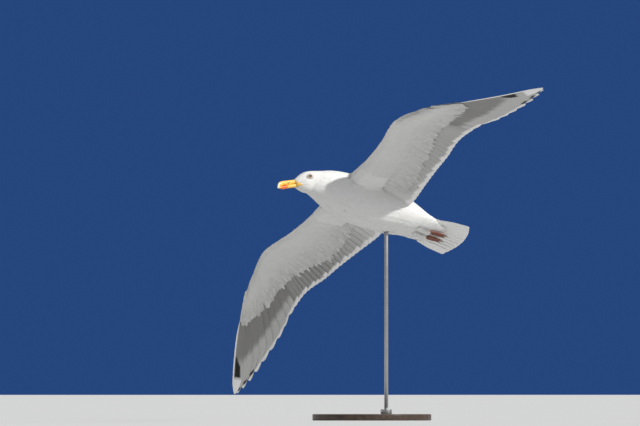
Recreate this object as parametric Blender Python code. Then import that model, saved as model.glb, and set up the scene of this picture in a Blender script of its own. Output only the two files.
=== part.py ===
"""A herring gull in a banked glide, life size, held on a plain display stand. Metres, +Z up.

The bird is worked out in its own frame, with x towards the bill, y towards its left and z towards
its back. The origin of that frame is on the midline, level with the front of the wing roots. An
empty then banks it, with the right wing down, above the stand. The row's origin is the centre of
the underside of the stand's base.
"""

import math

import bpy
import numpy as np
from mathutils import Matrix, Vector

# How the bird is held: heading along -Y, nose up, right wing down.
PITCH_UP = math.radians(14.4)
BANK_RIGHT = math.radians(37.0)
BIRD_AT = Vector((-0.004, -0.106, 0.5734))

GAP = 0.0003  # between solids that meet
BODY_SIDES = 24

# The body: sections along a path from the tail's root to the base of the bill. Each row is the
# section's centre x, y, z, then half its width, its rise above and its drop below that centre.
BODY_SECTIONS = (
    (-0.300, 0.0, -0.0255, 0.041, 0.0065, 0.0085),
    (-0.262, 0.0, -0.0245, 0.045, 0.0160, 0.0175),
    (-0.225, 0.0, -0.0150, 0.051, 0.0350, 0.0320),
    (-0.175, 0.0, -0.012, 0.061, 0.0500, 0.0430),
    (-0.115, 0.0, -0.010, 0.060, 0.0540, 0.0530),
    (-0.055, 0.0, -0.009, 0.058, 0.0560, 0.0580),
    (-0.010, 0.0, -0.001, 0.057, 0.0590, 0.0560),
    (0.031, 0.0, 0.0080, 0.047, 0.0468, 0.0500),
    (0.061, 0.0, 0.0122, 0.0365, 0.0318, 0.0415),
    (0.0872, -0.001, 0.0116, 0.0275, 0.0250, 0.0350),
    (0.1057, -0.003, 0.0045, 0.0235, 0.0205, 0.0300),
    (0.1205, -0.0055, -0.0020, 0.0168, 0.0142, 0.0215),
    (0.1320, -0.0080, -0.0068, 0.0092, 0.0095, 0.0115),
)
# Where the body is parted, as places along its sections.
TAIL_ROOT, TRUNK_FRONT, NECK_FRONT, FACE_FRONT = 0.0, 6.6, 8.55, 12.0
HEAD_ROLL = math.radians(-24.0)  # the head is rolled back towards level

BILL_LENGTH = 0.057
BILL_LIFT = 0.075  # how far the bill's axis is raised off the face's
BILL_STAND = 0.0013  # from the face to the raised bill's middle
BILL_DEPTH = 0.0200
BILL_WIDTH = 0.0125

EYE_RADIUS = 0.0066
EYE_AT = (9.67, 0.34)  # place along the sections, and height above the midline over the rise

# The wing: straight lines across it from the leading edge to the trailing edge. Each row is the
# line's place along the wing, its front end, its rear end, and how far its middle is bowed
# forwards and upwards.
WING_LINES = (
    (0.00, (0.004, 0.030, 0.000), (-0.184, 0.040, -0.024), (0.000, 0.016)),
    (0.08, (0.002, 0.065, 0.003), (-0.184, 0.078, -0.025), (0.000, 0.015)),
    (0.22, (-0.003, 0.130, 0.012), (-0.170, 0.140, -0.029), (0.000, 0.014)),
    (0.36, (0.001, 0.195, 0.016), (-0.158, 0.206, -0.031), (0.000, 0.013)),
    (0.48, (0.014, 0.243, 0.016), (-0.149, 0.263, -0.034), (0.000, 0.012)),
    (0.56, (0.023, 0.275, 0.012), (-0.139, 0.333, -0.032), (0.001, 0.009)),
    (0.60, (0.020, 0.294, 0.011), (-0.145, 0.396, -0.040), (0.002, 0.006)),
    (0.685, (0.0135, 0.322, 0.006), (-0.151, 0.465, -0.066), (0.003, 0.002)),
    (0.77, (0.008, 0.347, -0.003), (-0.147, 0.535, -0.093), (0.006, -0.003)),
    (0.853, (0.004, 0.369, -0.010), (-0.145, 0.601, -0.111), (0.009, -0.007)),
    (0.937, (0.0005, 0.388, -0.020), (-0.139, 0.650, -0.118), (0.012, -0.011)),
    (1.00, (0.002, 0.398, -0.023), (-0.1285, 0.657, -0.118), (0.013, -0.012)),
)
WING_ROOT = 0.0  # the wing's place where its flight feathers start
WRIST = 0.58  # the place that parts arm from hand, and secondaries from primaries
WRIST_GAP = 0.0008
FLESH_THICKNESS = ((0.0, 0.056), (0.1, 0.042), (0.24, 0.030), (0.58, 0.016), (1.0, 0.006))
COVERED = ((0.0, 0.56), (0.4, 0.54), (0.58, 0.47), (0.8, 0.34), (1.0, 0.20))
PLATE_FRONT, PLATE_EDGE = 0.0030, 0.0010
PRIMARIES, SECONDARIES = 10, 24
PRIMARY_NOTCH, SECONDARY_NOTCH = 0.013, 0.0045

TAIL_FEATHERS = 12
TAIL_ROOT_X, TAIL_END_X = -0.3010, -0.400
TAIL_ROOT_HALF, TAIL_END_HALF = 0.0435, 0.0555
TAIL_Z, TAIL_END_Z = -0.0255, -0.0285
TAIL_THICK, TAIL_EDGE = 0.010, 0.0012
TAIL_NOTCH = 0.003

FOOT_AT = Vector((-0.2765, 0.0100, -0.0430))
TOE_LENGTH = 0.058
TOE_RADIUS = 0.0021
TOE_SPREAD = 0.0047
SHANK_RADIUS = 0.0038
FOOT_DROP = math.radians(3.0)

BASE_RADIUS, BASE_THICKNESS = 0.150, 0.016
BASE_AT = (0.0, 0.0)
ROD_RADIUS = 0.005
ROD_AT = (0.0, 0.045)
ROD_IN_BODY = 0.022
COLLAR_RADIUS, COLLAR_HEIGHT = 0.014, 0.012


def finish(name, colour, roughness=0.6, metallic=0.0):
    """A plain material for one kind of surface."""
    material = bpy.data.materials.get(name) or bpy.data.materials.new(name)
    material.use_nodes = True
    shader = material.node_tree.nodes["Principled BSDF"]
    shader.inputs["Base Color"].default_value = (*colour, 1.0)
    shader.inputs["Roughness"].default_value = roughness
    shader.inputs["Metallic"].default_value = metallic
    return material


def add_mesh(name, points, faces, material, parent=None):
    mesh = bpy.data.meshes.new(name)
    mesh.from_pydata([tuple(p) for p in points], [], faces)
    mesh.materials.append(material)
    mesh.shade_smooth()
    mesh.set_sharp_from_angle(angle=math.radians(40))
    piece = bpy.data.objects.new(name, mesh)
    bpy.context.scene.collection.objects.link(piece)
    piece.parent = parent
    return piece


def loft(name, rings, material, parent=None, flip=False):
    """A closed solid through rings of points, with a flat cap on each end."""
    count, sides = len(rings), len(rings[0])
    points = [p for ring in rings for p in ring]
    faces = []
    for i in range(count - 1):
        for j in range(sides):
            k = (j + 1) % sides
            low, high = i * sides, (i + 1) * sides
            faces.append((low + j, low + k, high + k, high + j))
    faces.append(tuple(range(sides))[::-1])
    faces.append(tuple((count - 1) * sides + j for j in range(sides)))
    if flip:
        faces = [face[::-1] for face in faces]
    return add_mesh(name, points, faces, material, parent)


def through(places, values, at):
    """A smooth curve through the values, read at one place."""
    places = np.asarray(places, float)
    values = np.asarray(values, float)
    i = int(np.clip(np.searchsorted(places, at, side="right") - 1, 0, len(places) - 2))

    def slope(k):
        low, high = max(k - 1, 0), min(k + 1, len(places) - 1)
        return (values[high] - values[low]) / (places[high] - places[low])

    step = places[i + 1] - places[i]
    t = (at - places[i]) / step
    a, b = values[i], values[i + 1]
    return (
        a * (2 * t**3 - 3 * t**2 + 1)
        + b * (3 * t**2 - 2 * t**3)
        + slope(i) * step * (t**3 - 2 * t**2 + t)
        + slope(i + 1) * step * (t**3 - t**2)
    )


def smooth_step(low, high, value):
    t = min(max((value - low) / (high - low), 0.0), 1.0)
    return t * t * (3 - 2 * t)


def body_frame(place):
    """Centre, forward, left and up of the body's section at a place along BODY_SECTIONS."""
    rows = range(len(BODY_SECTIONS))
    here = through(rows, [r[:3] for r in BODY_SECTIONS], place)
    ahead = through(rows, [r[:3] for r in BODY_SECTIONS], min(place + 0.05, 12.0))
    behind = through(rows, [r[:3] for r in BODY_SECTIONS], max(place - 0.05, 0.0))
    forward = Vector(ahead - behind).normalized()
    roll = HEAD_ROLL * smooth_step(6.0, 9.5, place)
    up = Vector((0.0, -math.sin(roll), math.cos(roll)))
    left = up.cross(forward).normalized()
    return Vector(here), forward, left, forward.cross(left)


def body_point(place, angle, proud=0.0):
    """A point on the body's surface. The angle runs from its left, over its back."""
    centre, _, left, up = body_frame(place)
    row = through(range(len(BODY_SECTIONS)), [r[3:] for r in BODY_SECTIONS], place)
    half, rise, drop = row + proud
    height = rise if math.sin(angle) > 0 else drop
    return centre + left * (half * math.cos(angle)) + up * (height * math.sin(angle))


def body_rings(start, end, count, proud=0.0):
    rings = []
    for i in range(count + 1):
        place = start + (end - start) * i / count
        turn = 2 * math.pi / BODY_SIDES
        rings.append([body_point(place, turn * j, proud) for j in range(BODY_SIDES)])
    return rings


def make_body(bird, plumage):
    """Trunk, neck and head, parted by thin gaps across the path."""
    gap = 0.008  # of a place, which is GAP or a little more along the path
    trunk = loft("trunk", body_rings(TAIL_ROOT, TRUNK_FRONT, 13), plumage, bird)
    neck = loft("neck", body_rings(TRUNK_FRONT + gap, NECK_FRONT, 5), plumage, bird)
    head = loft(
        "head", body_rings(NECK_FRONT + 2 * gap, FACE_FRONT, 9), plumage, bird
    )
    return trunk, neck, head


def combine(piece, helper, operation):
    """Cuts a hidden helper out of a piece, or joins it on."""
    helper.hide_render = True
    helper.display_type = "WIRE"
    change = piece.modifiers.new(helper.name, "BOOLEAN")
    change.operation = operation
    change.solver = "EXACT"
    change.object = helper


def subtract(piece, cutter):
    combine(piece, cutter, "DIFFERENCE")


def make_eyes(bird, head, material):
    """Two balls sunk in sockets in the sides of the head."""
    place, height = EYE_AT
    centre, _, left, up = body_frame(place)
    half, rise, _ = through(
        range(len(BODY_SECTIONS)), [r[3:] for r in BODY_SECTIONS], place
    )
    for side, sign in (("left", 1), ("right", -1)):
        at = centre + up * (rise * height) + left * (sign * (half - 0.0043))
        for name, radius in ((f"eye_{side}", EYE_RADIUS), (f"socket_{side}", None)):
            bpy.ops.mesh.primitive_uv_sphere_add(
                segments=12, ring_count=8, radius=radius or EYE_RADIUS + GAP, location=at
            )
            ball = bpy.context.object
            ball.name = name
            ball.parent = bird
            ball.data.materials.append(material)
            ball.data.shade_smooth()
            if radius is None:
                subtract(head, ball)


def bill_frame():
    centre, _, left, up = body_frame(FACE_FRONT)
    path = [Vector(BODY_SECTIONS[k][:3]) for k in (-1, -3)]
    forward = (path[0] - path[1]).normalized()
    forward = (forward + up * BILL_LIFT).normalized()
    left = up.cross(forward).normalized()
    return centre, forward, left, forward.cross(left)


BILL_PLACES = (0.0, 0.25, 0.5, 0.7, 0.85, 0.95, 1.0)
BILL_TOP = (0.48, 0.470, 0.48, 0.47, 0.36, 0.10, -0.26)
BILL_MOUTH = (-0.04, -0.07, -0.08, -0.10, -0.17, -0.30, -0.36)
BILL_BOTTOM = (-0.49, -0.47, -0.48, -0.53, -0.40, -0.31, -0.31)
BILL_HALF = (0.50, 0.42, 0.34, 0.28, 0.21, 0.13, 0.05)


def bill_ring(t, top, bottom, sides=12):
    """One section of a mandible, in the bill's frame, between two heights."""
    centre, forward, left, up = bill_frame()
    half = BILL_WIDTH * through(BILL_PLACES, BILL_HALF, t)
    middle, tall = (top + bottom) / 2, (top - bottom) / 2
    start = centre + forward * (BILL_STAND + BILL_LENGTH * t)
    ring = []
    for j in range(sides):
        angle = 2 * math.pi * j / sides
        across = math.copysign(abs(math.cos(angle)) ** 0.75, math.cos(angle))
        height = math.copysign(abs(math.sin(angle)) ** 0.75, math.sin(angle))
        ring.append(start + left * (half * across) + up * (middle + tall * height))
    return ring


def make_bill(bird, material):
    """Upper and lower mandible, closed, meeting along the mouth line."""
    upper, lower = [], []
    for i in range(11):
        t = 0.999 * (i / 10) ** 0.8
        top = BILL_DEPTH * through(BILL_PLACES, BILL_TOP, t)
        mouth = BILL_DEPTH * through(BILL_PLACES, BILL_MOUTH, t)
        upper.append(bill_ring(t, top, mouth + GAP / 2))
        if t < 0.92:
            bottom = BILL_DEPTH * through(BILL_PLACES, BILL_BOTTOM, t)
            lower.append(bill_ring(t, mouth - GAP / 2, min(bottom, mouth - 0.0012)))
    loft("bill_upper", upper, material, bird, flip=False)
    loft("bill_lower", lower, material, bird, flip=False)


def wing_line(place):
    """Front end, rear end and middle of the line across the wing at a place along it."""
    places = [r[0] for r in WING_LINES]
    front = through(places, [r[1] for r in WING_LINES], place)
    rear = through(places, [r[2] for r in WING_LINES], place)
    bow = through(places, [r[3] for r in WING_LINES], place)
    middle = (front + rear) / 2 + np.array((bow[0], 0.0, bow[1]))
    return front, 2 * middle - (front + rear) / 2, rear


def wing_point(place, across):
    """A point of the wing's middle surface, across from the leading (0) to the trailing edge (1)."""
    front, control, rear = wing_line(place)
    t = across
    return front * (1 - t) ** 2 + control * (2 * t * (1 - t)) + rear * t**2


def wing_normal(place, across):
    e = 0.004
    along = wing_point(min(place + e, 1.0), across) - wing_point(
        max(place - e, 0.0), across
    )
    back = wing_point(place, min(across + e, 1.0)) - wing_point(
        place, max(across - e, 0.0)
    )
    normal = np.cross(along, back)
    normal = -normal if normal[2] < 0 else normal
    return normal / np.linalg.norm(normal)


def ramp(table, at):
    return float(np.interp(at, [r[0] for r in table], [r[1] for r in table]))


def flesh_thickness(place, share):
    """The arm's thickness at a share of the way from the leading edge to its rear edge."""
    deepest = ramp(FLESH_THICKNESS, place)
    hump = math.sin(math.pi * min(share, 1.0) ** 0.62) ** 0.8 if share < 1 else 0.0
    nose = math.sqrt(1 - (1 - min(share / 0.12, 1.0)) ** 2)
    return nose * (PLATE_FRONT + (deepest - PLATE_FRONT) * hump)


def side_of(point, sign):
    return Vector((point[0], sign * point[1], point[2]))


def flesh_ring(place, sign, steps=5):
    """A closed section of the arm or hand: back over the top, forwards underneath."""
    rear = ramp(COVERED, place)
    shares = [(1 - math.cos(math.pi * k / steps)) / 2 for k in range(steps + 1)]
    top, under = [], []
    for share in shares:
        across = share * rear
        half = max(flesh_thickness(place, share) / 2, 0.0004)
        at, normal = wing_point(place, across), wing_normal(place, across)
        top.append(side_of(at + normal * half, sign))
        under.append(side_of(at - normal * half, sign))
    return top + under[:0:-1]


def feather_places(start, end, count):
    """Evenly spaced places along the wing."""
    return [start + (end - start) * i / count for i in range(count + 1)]


def make_flesh(bird, side, sign, plumage):
    pieces = []
    arm = feather_places(WING_ROOT, WRIST - WRIST_GAP, SECONDARIES)
    hand = feather_places(WRIST + WRIST_GAP, 1.0, PRIMARIES * 2)
    for name, places in (("arm", arm), ("hand", hand)):
        rings = [flesh_ring(place, sign) for place in places]
        pieces.append(
            loft(f"wing_{side}_{name}", rings, plumage, bird, flip=sign > 0)
        )
    return pieces


def notch(place, start, end, count, depth):
    """How far the plate's rear edge draws in between the tips of two feathers."""
    feather = (place - start) / (end - start) * count
    from_middle = abs(feather - math.floor(min(feather, count - 1e-6)) - 0.5) * 2
    return depth * from_middle**2.5


def make_plate(bird, side, sign, name, start, end, count, columns, depth, material):
    """The flight feathers behind the flesh, as one thin plate with a tip for each feather."""
    rings = []
    rows = 3
    for place in feather_places(start, end, count * columns):
        front, _, rear = wing_line(place)
        chord = np.linalg.norm(rear - front)
        first = ramp(COVERED, place) + 0.0012 / chord
        last = 1.0 - notch(place, start, end, count, depth(place)) / chord
        top, under = [], []
        for k in range(rows + 1):
            share = k / rows
            across = first + (last - first) * share
            half = (PLATE_FRONT + (PLATE_EDGE - PLATE_FRONT) * share) / 2
            at, normal = wing_point(place, across), wing_normal(place, across)
            top.append(side_of(at + normal * half, sign))
            under.append(side_of(at - normal * half, sign))
        rings.append(top + under[::-1])
    return loft(f"wing_{side}_{name}", rings, material, bird, flip=sign > 0)


def make_wing(bird, side, sign, plumage, quills):
    arm, _ = make_flesh(bird, side, sign, plumage)
    secondaries = make_plate(
        bird, side, sign, "secondaries", WING_ROOT, WRIST - WRIST_GAP, SECONDARIES, 2,
        lambda place: SECONDARY_NOTCH, quills,
    )
    make_plate(
        bird, side, sign, "primaries", WRIST + WRIST_GAP, 1.0, PRIMARIES, 4,
        lambda place: PRIMARY_NOTCH * (0.3 + 0.7 * smooth_step(0.6, 0.85, place)), quills,
    )
    return arm, secondaries


def make_tail(bird, material):
    """The tail feathers, a little fanned, as one plate with a tip for each feather."""
    rings = []
    columns = 2
    for i in range(TAIL_FEATHERS * columns + 1):
        fan = 1 - 2 * i / (TAIL_FEATHERS * columns)
        cut = notch(i / (TAIL_FEATHERS * columns), 0, 1, TAIL_FEATHERS, TAIL_NOTCH)
        end_x = TAIL_END_X + 0.024 * fan**2 + cut
        top, under = [], []
        for k in range(5):
            share = k / 4
            half = (TAIL_THICK + (TAIL_EDGE - TAIL_THICK) * share**0.6) / 2
            half *= 1 - 0.45 * fan**2 * (1 - share)
            x = TAIL_ROOT_X + (end_x - TAIL_ROOT_X) * share
            y = fan * (TAIL_ROOT_HALF + (TAIL_END_HALF - TAIL_ROOT_HALF) * share**0.7)
            z = TAIL_Z + (TAIL_END_Z - TAIL_Z) * share - 0.004 * fan**2
            top.append(Vector((x, y, z + half)))
            under.append(Vector((x, y, z - half)))
        rings.append(top + under[::-1])
    return loft("tail", rings, material, bird, flip=False)


def tube(name, spots, material, parent, sides=8):
    """A closed tube through (centre, radius) spots, with its sections square to x."""
    rings = []
    for at, radius in spots:
        turn = 2 * math.pi / sides
        rings.append(
            [
                Vector((at[0], at[1] + radius * math.cos(turn * j), at[2] + radius * math.sin(turn * j)))
                for j in range(sides)
            ]
        )
    return loft(name, rings, material, parent, flip=True)


def make_leg(bird, trunk_cutter, side, sign, skin, horn):
    """A shank that leaves the belly, and a foot of three closed toes laid back under the tail."""
    ankle = Vector((FOOT_AT.x, sign * FOOT_AT.y, FOOT_AT.z))
    back = Vector((-math.cos(FOOT_DROP), 0.0, math.sin(FOOT_DROP)))
    hip = ankle - back * 0.055 + Vector((0.0, 0.0, 0.010))
    shank = tube(
        f"leg_{side}", [(hip, SHANK_RADIUS), (ankle, SHANK_RADIUS)], skin, bird
    )
    subtract(shank, trunk_cutter)
    toes = []
    for number, offset in ((2, 0), (1, -1), (3, 1)):
        length = TOE_LENGTH * (1.0 if offset == 0 else 0.86)
        start = ankle + back * (0.0006 + 0.0004 * abs(offset))
        spots = []
        for k in range(7):
            share = k / 6
            swell = 1.0 + 0.08 * math.cos(share * 6 * math.pi)
            radius = TOE_RADIUS * swell * (1 - 0.30 * share)
            radius = TOE_RADIUS * (1.3 if share == 0 else 1.0) if share < 0.1 else radius
            spread = TOE_SPREAD * (0.22 + 0.78 * smooth_step(0.0, 0.4, share))
            at = start + back * (length * share) + Vector((0.0, offset * spread, 0.0))
            spots.append((at, radius))
        name = f"foot_{side}" if offset == 0 else f"side_toe_{side}_{number}"
        toes.append(tube(name, spots, skin, bird))
        tip, width = spots[-1]
        claw = []
        for k in range(4):
            share = k / 3
            at = tip + back * (GAP + 0.0075 * share) - Vector((0, 0, 0.0022 * share**2))
            claw.append((at, width * (0.9 - 0.72 * share)))
        tube(f"claw_{side}_{number}", claw, horn, bird, sides=6)
    for side_toe in toes[1:]:
        combine(toes[0], side_toe, "UNION")


def cylinder(name, radius, low, high, at, material, sides=32, bevel=0.0):
    bpy.ops.mesh.primitive_cylinder_add(
        vertices=sides, radius=radius, depth=high - low,
        location=(at[0], at[1], (low + high) / 2),
    )
    piece = bpy.context.object
    piece.name = name
    piece.data.materials.append(material)
    if bevel:
        edge = piece.modifiers.new("rounded edge", "BEVEL")
        edge.width = bevel
        edge.segments = 2
        edge.limit_method = "ANGLE"
    piece.data.shade_smooth()
    piece.data.set_sharp_from_angle(angle=math.radians(40))
    return piece


def make_stand(bird, trunk, wood, steel):
    """A flat round base, a collar on it and one straight rod up into the belly."""
    cylinder(
        "stand_base", BASE_RADIUS, 0.0, BASE_THICKNESS, BASE_AT, wood, 40, 0.002
    )
    top = rod_top(bird)
    collar_low = BASE_THICKNESS + GAP
    collar = cylinder(
        "stand_collar", COLLAR_RADIUS, collar_low, collar_low + COLLAR_HEIGHT,
        ROD_AT, steel, 24, 0.0012,
    )
    bore = cylinder(
        "collar_bore", ROD_RADIUS + GAP, 0.0, COLLAR_HEIGHT * 4, ROD_AT, steel, 24
    )
    subtract(collar, bore)
    cylinder("stand_rod", ROD_RADIUS, collar_low, top, ROD_AT, steel, 20)
    socket = cylinder("rod_socket", ROD_RADIUS + GAP, 0.2, top + GAP, ROD_AT, steel, 20)
    subtract(trunk, socket)


def rod_top(bird):
    """How high the rod reaches: a little way inside the belly straight above its foot."""
    height = BIRD_AT.z
    to_bird = bird.matrix_world.inverted()
    while inside_body(to_bird @ Vector((*ROD_AT, height))):
        height -= 0.001
    return height + ROD_IN_BODY


def inside_body(point):
    """Whether a point of the bird's frame is inside the trunk."""
    places = [r[0] for r in BODY_SECTIONS]
    place = float(np.interp(point.x, places, range(len(places))))
    row = through(range(len(BODY_SECTIONS)), BODY_SECTIONS, place)
    across = (point.y - row[1]) / row[3]
    height = (point.z - row[2]) / (row[4] if point.z > row[2] else row[5])
    return across**2 + height**2 < 1.0


def main():
    for item in list(bpy.data.objects):
        bpy.data.objects.remove(item)
    plumage = finish("plumage", (0.80, 0.80, 0.78), 0.8)
    quills = finish("flight_feathers", (0.45, 0.46, 0.48), 0.7)
    horn_yellow = finish("bill", (0.85, 0.55, 0.10), 0.4)
    iris = finish("eye", (0.75, 0.65, 0.30), 0.15)
    skin = finish("leg_skin", (0.45, 0.20, 0.15), 0.55)
    horn = finish("claw", (0.03, 0.03, 0.03), 0.4)
    wood = finish("stand_base", (0.05, 0.05, 0.055), 0.5)
    steel = finish("stand_steel", (0.6, 0.6, 0.6), 0.3, 1.0)

    bird = bpy.data.objects.new("bird", None)
    bpy.context.scene.collection.objects.link(bird)
    heading = Matrix.Rotation(-math.pi / 2, 4, "Z")
    pitch = Matrix.Rotation(-PITCH_UP, 4, "Y")
    bank = Matrix.Rotation(BANK_RIGHT, 4, "X")
    bird.matrix_world = Matrix.Translation(BIRD_AT) @ heading @ pitch @ bank
    bpy.context.view_layer.update()

    trunk, neck, head = make_body(bird, plumage)
    rings = body_rings(TAIL_ROOT, TRUNK_FRONT, 13, proud=GAP)
    rings += body_rings(TRUNK_FRONT + 0.3, 9.0, 6, proud=GAP)
    cutter = loft("body_cutter", rings, plumage, bird)
    make_eyes(bird, head, iris)
    make_bill(bird, horn_yellow)
    for side, sign in (("left", 1), ("right", -1)):
        for piece in make_wing(bird, side, sign, plumage, quills):
            subtract(piece, cutter)
        make_leg(bird, cutter, side, sign, skin, horn)
    make_tail(bird, quills)
    make_stand(bird, trunk, wood, steel)


main()
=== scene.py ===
import itertools
import math

import bmesh
import bpy
import numpy as np
from mathutils import Matrix, Vector
from mathutils.bvhtree import BVHTree


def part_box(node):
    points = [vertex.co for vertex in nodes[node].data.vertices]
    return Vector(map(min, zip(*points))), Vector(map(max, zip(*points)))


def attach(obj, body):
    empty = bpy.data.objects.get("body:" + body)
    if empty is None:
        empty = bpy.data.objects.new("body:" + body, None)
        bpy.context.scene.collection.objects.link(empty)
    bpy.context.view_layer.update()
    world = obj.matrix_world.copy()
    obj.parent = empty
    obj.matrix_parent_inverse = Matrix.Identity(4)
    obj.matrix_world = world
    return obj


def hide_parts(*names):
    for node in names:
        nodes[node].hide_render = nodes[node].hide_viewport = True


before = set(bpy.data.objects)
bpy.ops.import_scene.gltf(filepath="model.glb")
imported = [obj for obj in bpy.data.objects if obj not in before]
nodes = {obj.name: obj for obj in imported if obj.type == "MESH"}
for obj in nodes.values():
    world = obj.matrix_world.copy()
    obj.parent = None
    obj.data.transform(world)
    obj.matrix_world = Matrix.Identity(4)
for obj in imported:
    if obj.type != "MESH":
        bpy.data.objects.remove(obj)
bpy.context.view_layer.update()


# Stand base: a flat disc of dark stained walnut, turned on a lathe with a soft rim and one shallow
# groove near it, then oiled and waxed. It stands on the table and carries the whole mount.


def pick(piece):
    """Selects one piece alone, in object mode."""
    if bpy.context.object and bpy.context.object.mode != "OBJECT":
        bpy.ops.object.mode_set(mode="OBJECT")
    bpy.ops.object.select_all(action="DESELECT")
    piece.select_set(True)
    bpy.context.view_layer.objects.active = piece


def recess(piece, facing, *steps):
    """Insets the faces that look one way, step by step, each time moving them out or in."""
    facing = Vector(facing)
    pick(piece)
    bpy.ops.object.mode_set(mode="EDIT")
    bpy.ops.mesh.select_mode(type="FACE")
    bpy.ops.mesh.select_all(action="DESELECT")
    shape = bmesh.from_edit_mesh(piece.data)
    shape.normal_update()
    for face in shape.faces:
        face.select_set(face.normal.dot(facing) > 0.9)
    bmesh.update_edit_mesh(piece.data)
    for inset, rise in steps:
        bpy.ops.mesh.inset(thickness=inset)
        bpy.ops.transform.translate(value=facing * rise)
    bpy.ops.object.mode_set(mode="OBJECT")


def set_modifiers(piece, *steps):
    """Adds modifiers and applies each at once."""
    pick(piece)
    for kind, settings in steps:
        step = piece.modifiers.new(kind.title(), kind)
        for key, value in settings.items():
            setattr(step, key, value)
        bpy.ops.object.modifier_apply(modifier=step.name)


def soften(piece, width, segments, degrees):
    """Rounds a turned piece's edges and shades it smooth."""
    set_modifiers(piece, ("BEVEL", {"width": width, "segments": segments, "limit_method": "ANGLE",
                                    "angle_limit": math.radians(degrees)}))
    bpy.ops.object.shade_smooth_by_angle(angle=math.radians(35))


def turned(node_name, piece_name, vertices):
    """A plain cylinder that fills the box of one CAD node."""
    low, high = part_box(node_name)
    bpy.ops.mesh.primitive_cylinder_add(vertices=vertices, radius=(high.x - low.x) / 2,
                                        depth=high.z - low.z, location=(low + high) / 2)
    piece = bpy.context.object
    piece.name = piece_name
    bpy.ops.object.transform_apply(location=True)
    return piece


def put_on(piece, finish, slot_name, *replaced):
    """Settles a finished piece at the origin, with its finish, on the model's one body."""
    pick(piece)
    bpy.ops.object.transform_apply(location=True, rotation=True, scale=True)
    piece.data.materials.clear()
    piece.data.materials.append(finish.material)
    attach(piece, "root")
    if replaced:
        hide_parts(*replaced)


class Tone:
    """A shader's value or colour, so that a finish is written as plain sums."""

    def __init__(self, finish, socket):
        self.finish, self.socket = finish, socket

    def sum(self, how, first, second):
        return self.finish.node("Math", {"operation": how}, [first, second])

    def __add__(self, other):
        return self.sum("ADD", self, other)

    def __sub__(self, other):
        return self.sum("SUBTRACT", self, other)

    def __rsub__(self, other):
        return self.sum("SUBTRACT", other, self)

    def __mul__(self, other):
        return self.sum("MULTIPLY", self, other)

    def __abs__(self):
        return self.sum("ABSOLUTE", self, 0.0)

    __radd__, __rmul__ = __add__, __mul__


class Finish:
    """One material, with constants set on the shader and the rest linked by node()."""

    def __init__(self, name, **constants):
        self.material = bpy.data.materials.new(name)
        self.material.use_nodes = True
        self.tree = self.material.node_tree
        self.shader = self.tree.nodes["Principled BSDF"]
        for key, value in constants.items():
            self.shader.inputs[key.replace("_", " ")].default_value = value

    def plug(self, socket, value):
        if isinstance(value, Tone):
            self.tree.links.new(value.socket, socket)
        elif socket.type == "RGBA":
            socket.default_value = (*value, 1.0)
        else:
            socket.default_value = value

    def node(self, kind, settings=None, values=(), out=0):
        """A node of a kind, its settings first, then its sockets by number or by name."""
        made = self.tree.nodes.new("ShaderNode" + kind)
        for key, value in (settings or {}).items():
            if key == "stops":
                ramp = made.color_ramp
                while len(ramp.elements) < len(value):
                    ramp.elements.new(0.5)
                for element, (place, colour) in zip(ramp.elements, value):
                    element.position = place
                    element.color = (*colour, 1.0)
            else:
                setattr(made, key, value)
        pairs = values.items() if isinstance(values, dict) else enumerate(values)
        for key, value in pairs:
            self.plug(made.inputs[key], value)
        return Tone(self, made.outputs[out])

    def place(self, scale=(1, 1, 1), turn=(0, 0, 0)):
        """The place on the piece, for a pattern that is stretched or turned."""
        at = self.node("TexCoord", out="Object")
        return self.node("Mapping", None, {"Vector": at, "Rotation": turn, "Scale": scale})

    def grain(self, size, detail=3.0, rough=0.55, **placed):
        """A cloudy pattern over the piece, finer as the size number grows."""
        values = {"Vector": self.place(**placed), "Scale": size, "Detail": detail,
                  "Roughness": rough}
        return self.node("TexNoise", {"noise_dimensions": "3D"}, values)

    def given(self, name, out="Fac"):
        """A value that the piece's own mesh carries."""
        return self.node("Attribute", {"attribute_name": name}, out=out)

    def within(self, value, low, high):
        """0 below low, 1 above high, and a smooth step between."""
        return self.node(
            "MapRange", {"interpolation_type": "SMOOTHSTEP"}, [value, low, high, 0.0, 1.0]
        )

    def blend(self, share, first, second, how="MIX"):
        settings = {"data_type": "RGBA", "blend_type": how}
        return self.node("Mix", settings, {0: share, 6: first, 7: second}, out=2)

    def relief(self, height, depth, strength=1.0):
        return self.node("Bump", None, {"Strength": strength, "Distance": depth, "Height": height})

    def set(self, **sockets):
        for key, value in sockets.items():
            self.plug(self.shader.inputs[key.replace("_", " ")], value)
        return self


def stained_walnut():
    finish = Finish("stained_walnut", Coat_Weight=0.25, Coat_Roughness=0.25)
    figure = finish.grain(14.0, 5.0, 0.6, scale=(1.0, 9.0, 9.0), turn=(0, 0, 0.4))
    pores = finish.grain(16.0, 2.0, scale=(6.0, 90.0, 90.0), turn=(0, 0, 0.4))
    stops = [(0.30, (0.020, 0.011, 0.007)), (0.52, (0.052, 0.027, 0.015)),
             (0.72, (0.095, 0.052, 0.028))]
    wood = finish.node("ValToRGB", {"stops": stops}, [figure])
    dark = finish.within(pores, 0.50, 0.62)
    wood = finish.blend(dark * 0.55, wood, (0.012, 0.007, 0.005))
    height = figure * 0.4 - dark * 0.8
    return finish.set(Base_Color=wood, Roughness=0.42 + pores * 0.18,
                      Normal=finish.relief(height, 0.0003, 0.5))


GROOVE_FROM_RIM, GROOVE_SIDE, GROOVE_DEEP = 0.014, 0.0018, 0.0012
base = turned("stand_base", "turned_base", 160)
recess(base, (0, 0, 1), (GROOVE_FROM_RIM, 0), (GROOVE_SIDE, -GROOVE_DEEP),
       (GROOVE_SIDE, GROOVE_DEEP))
soften(base, 0.0022, 4, 50)
put_on(base, stained_walnut(), "stand_base", "stand_base")


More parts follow.
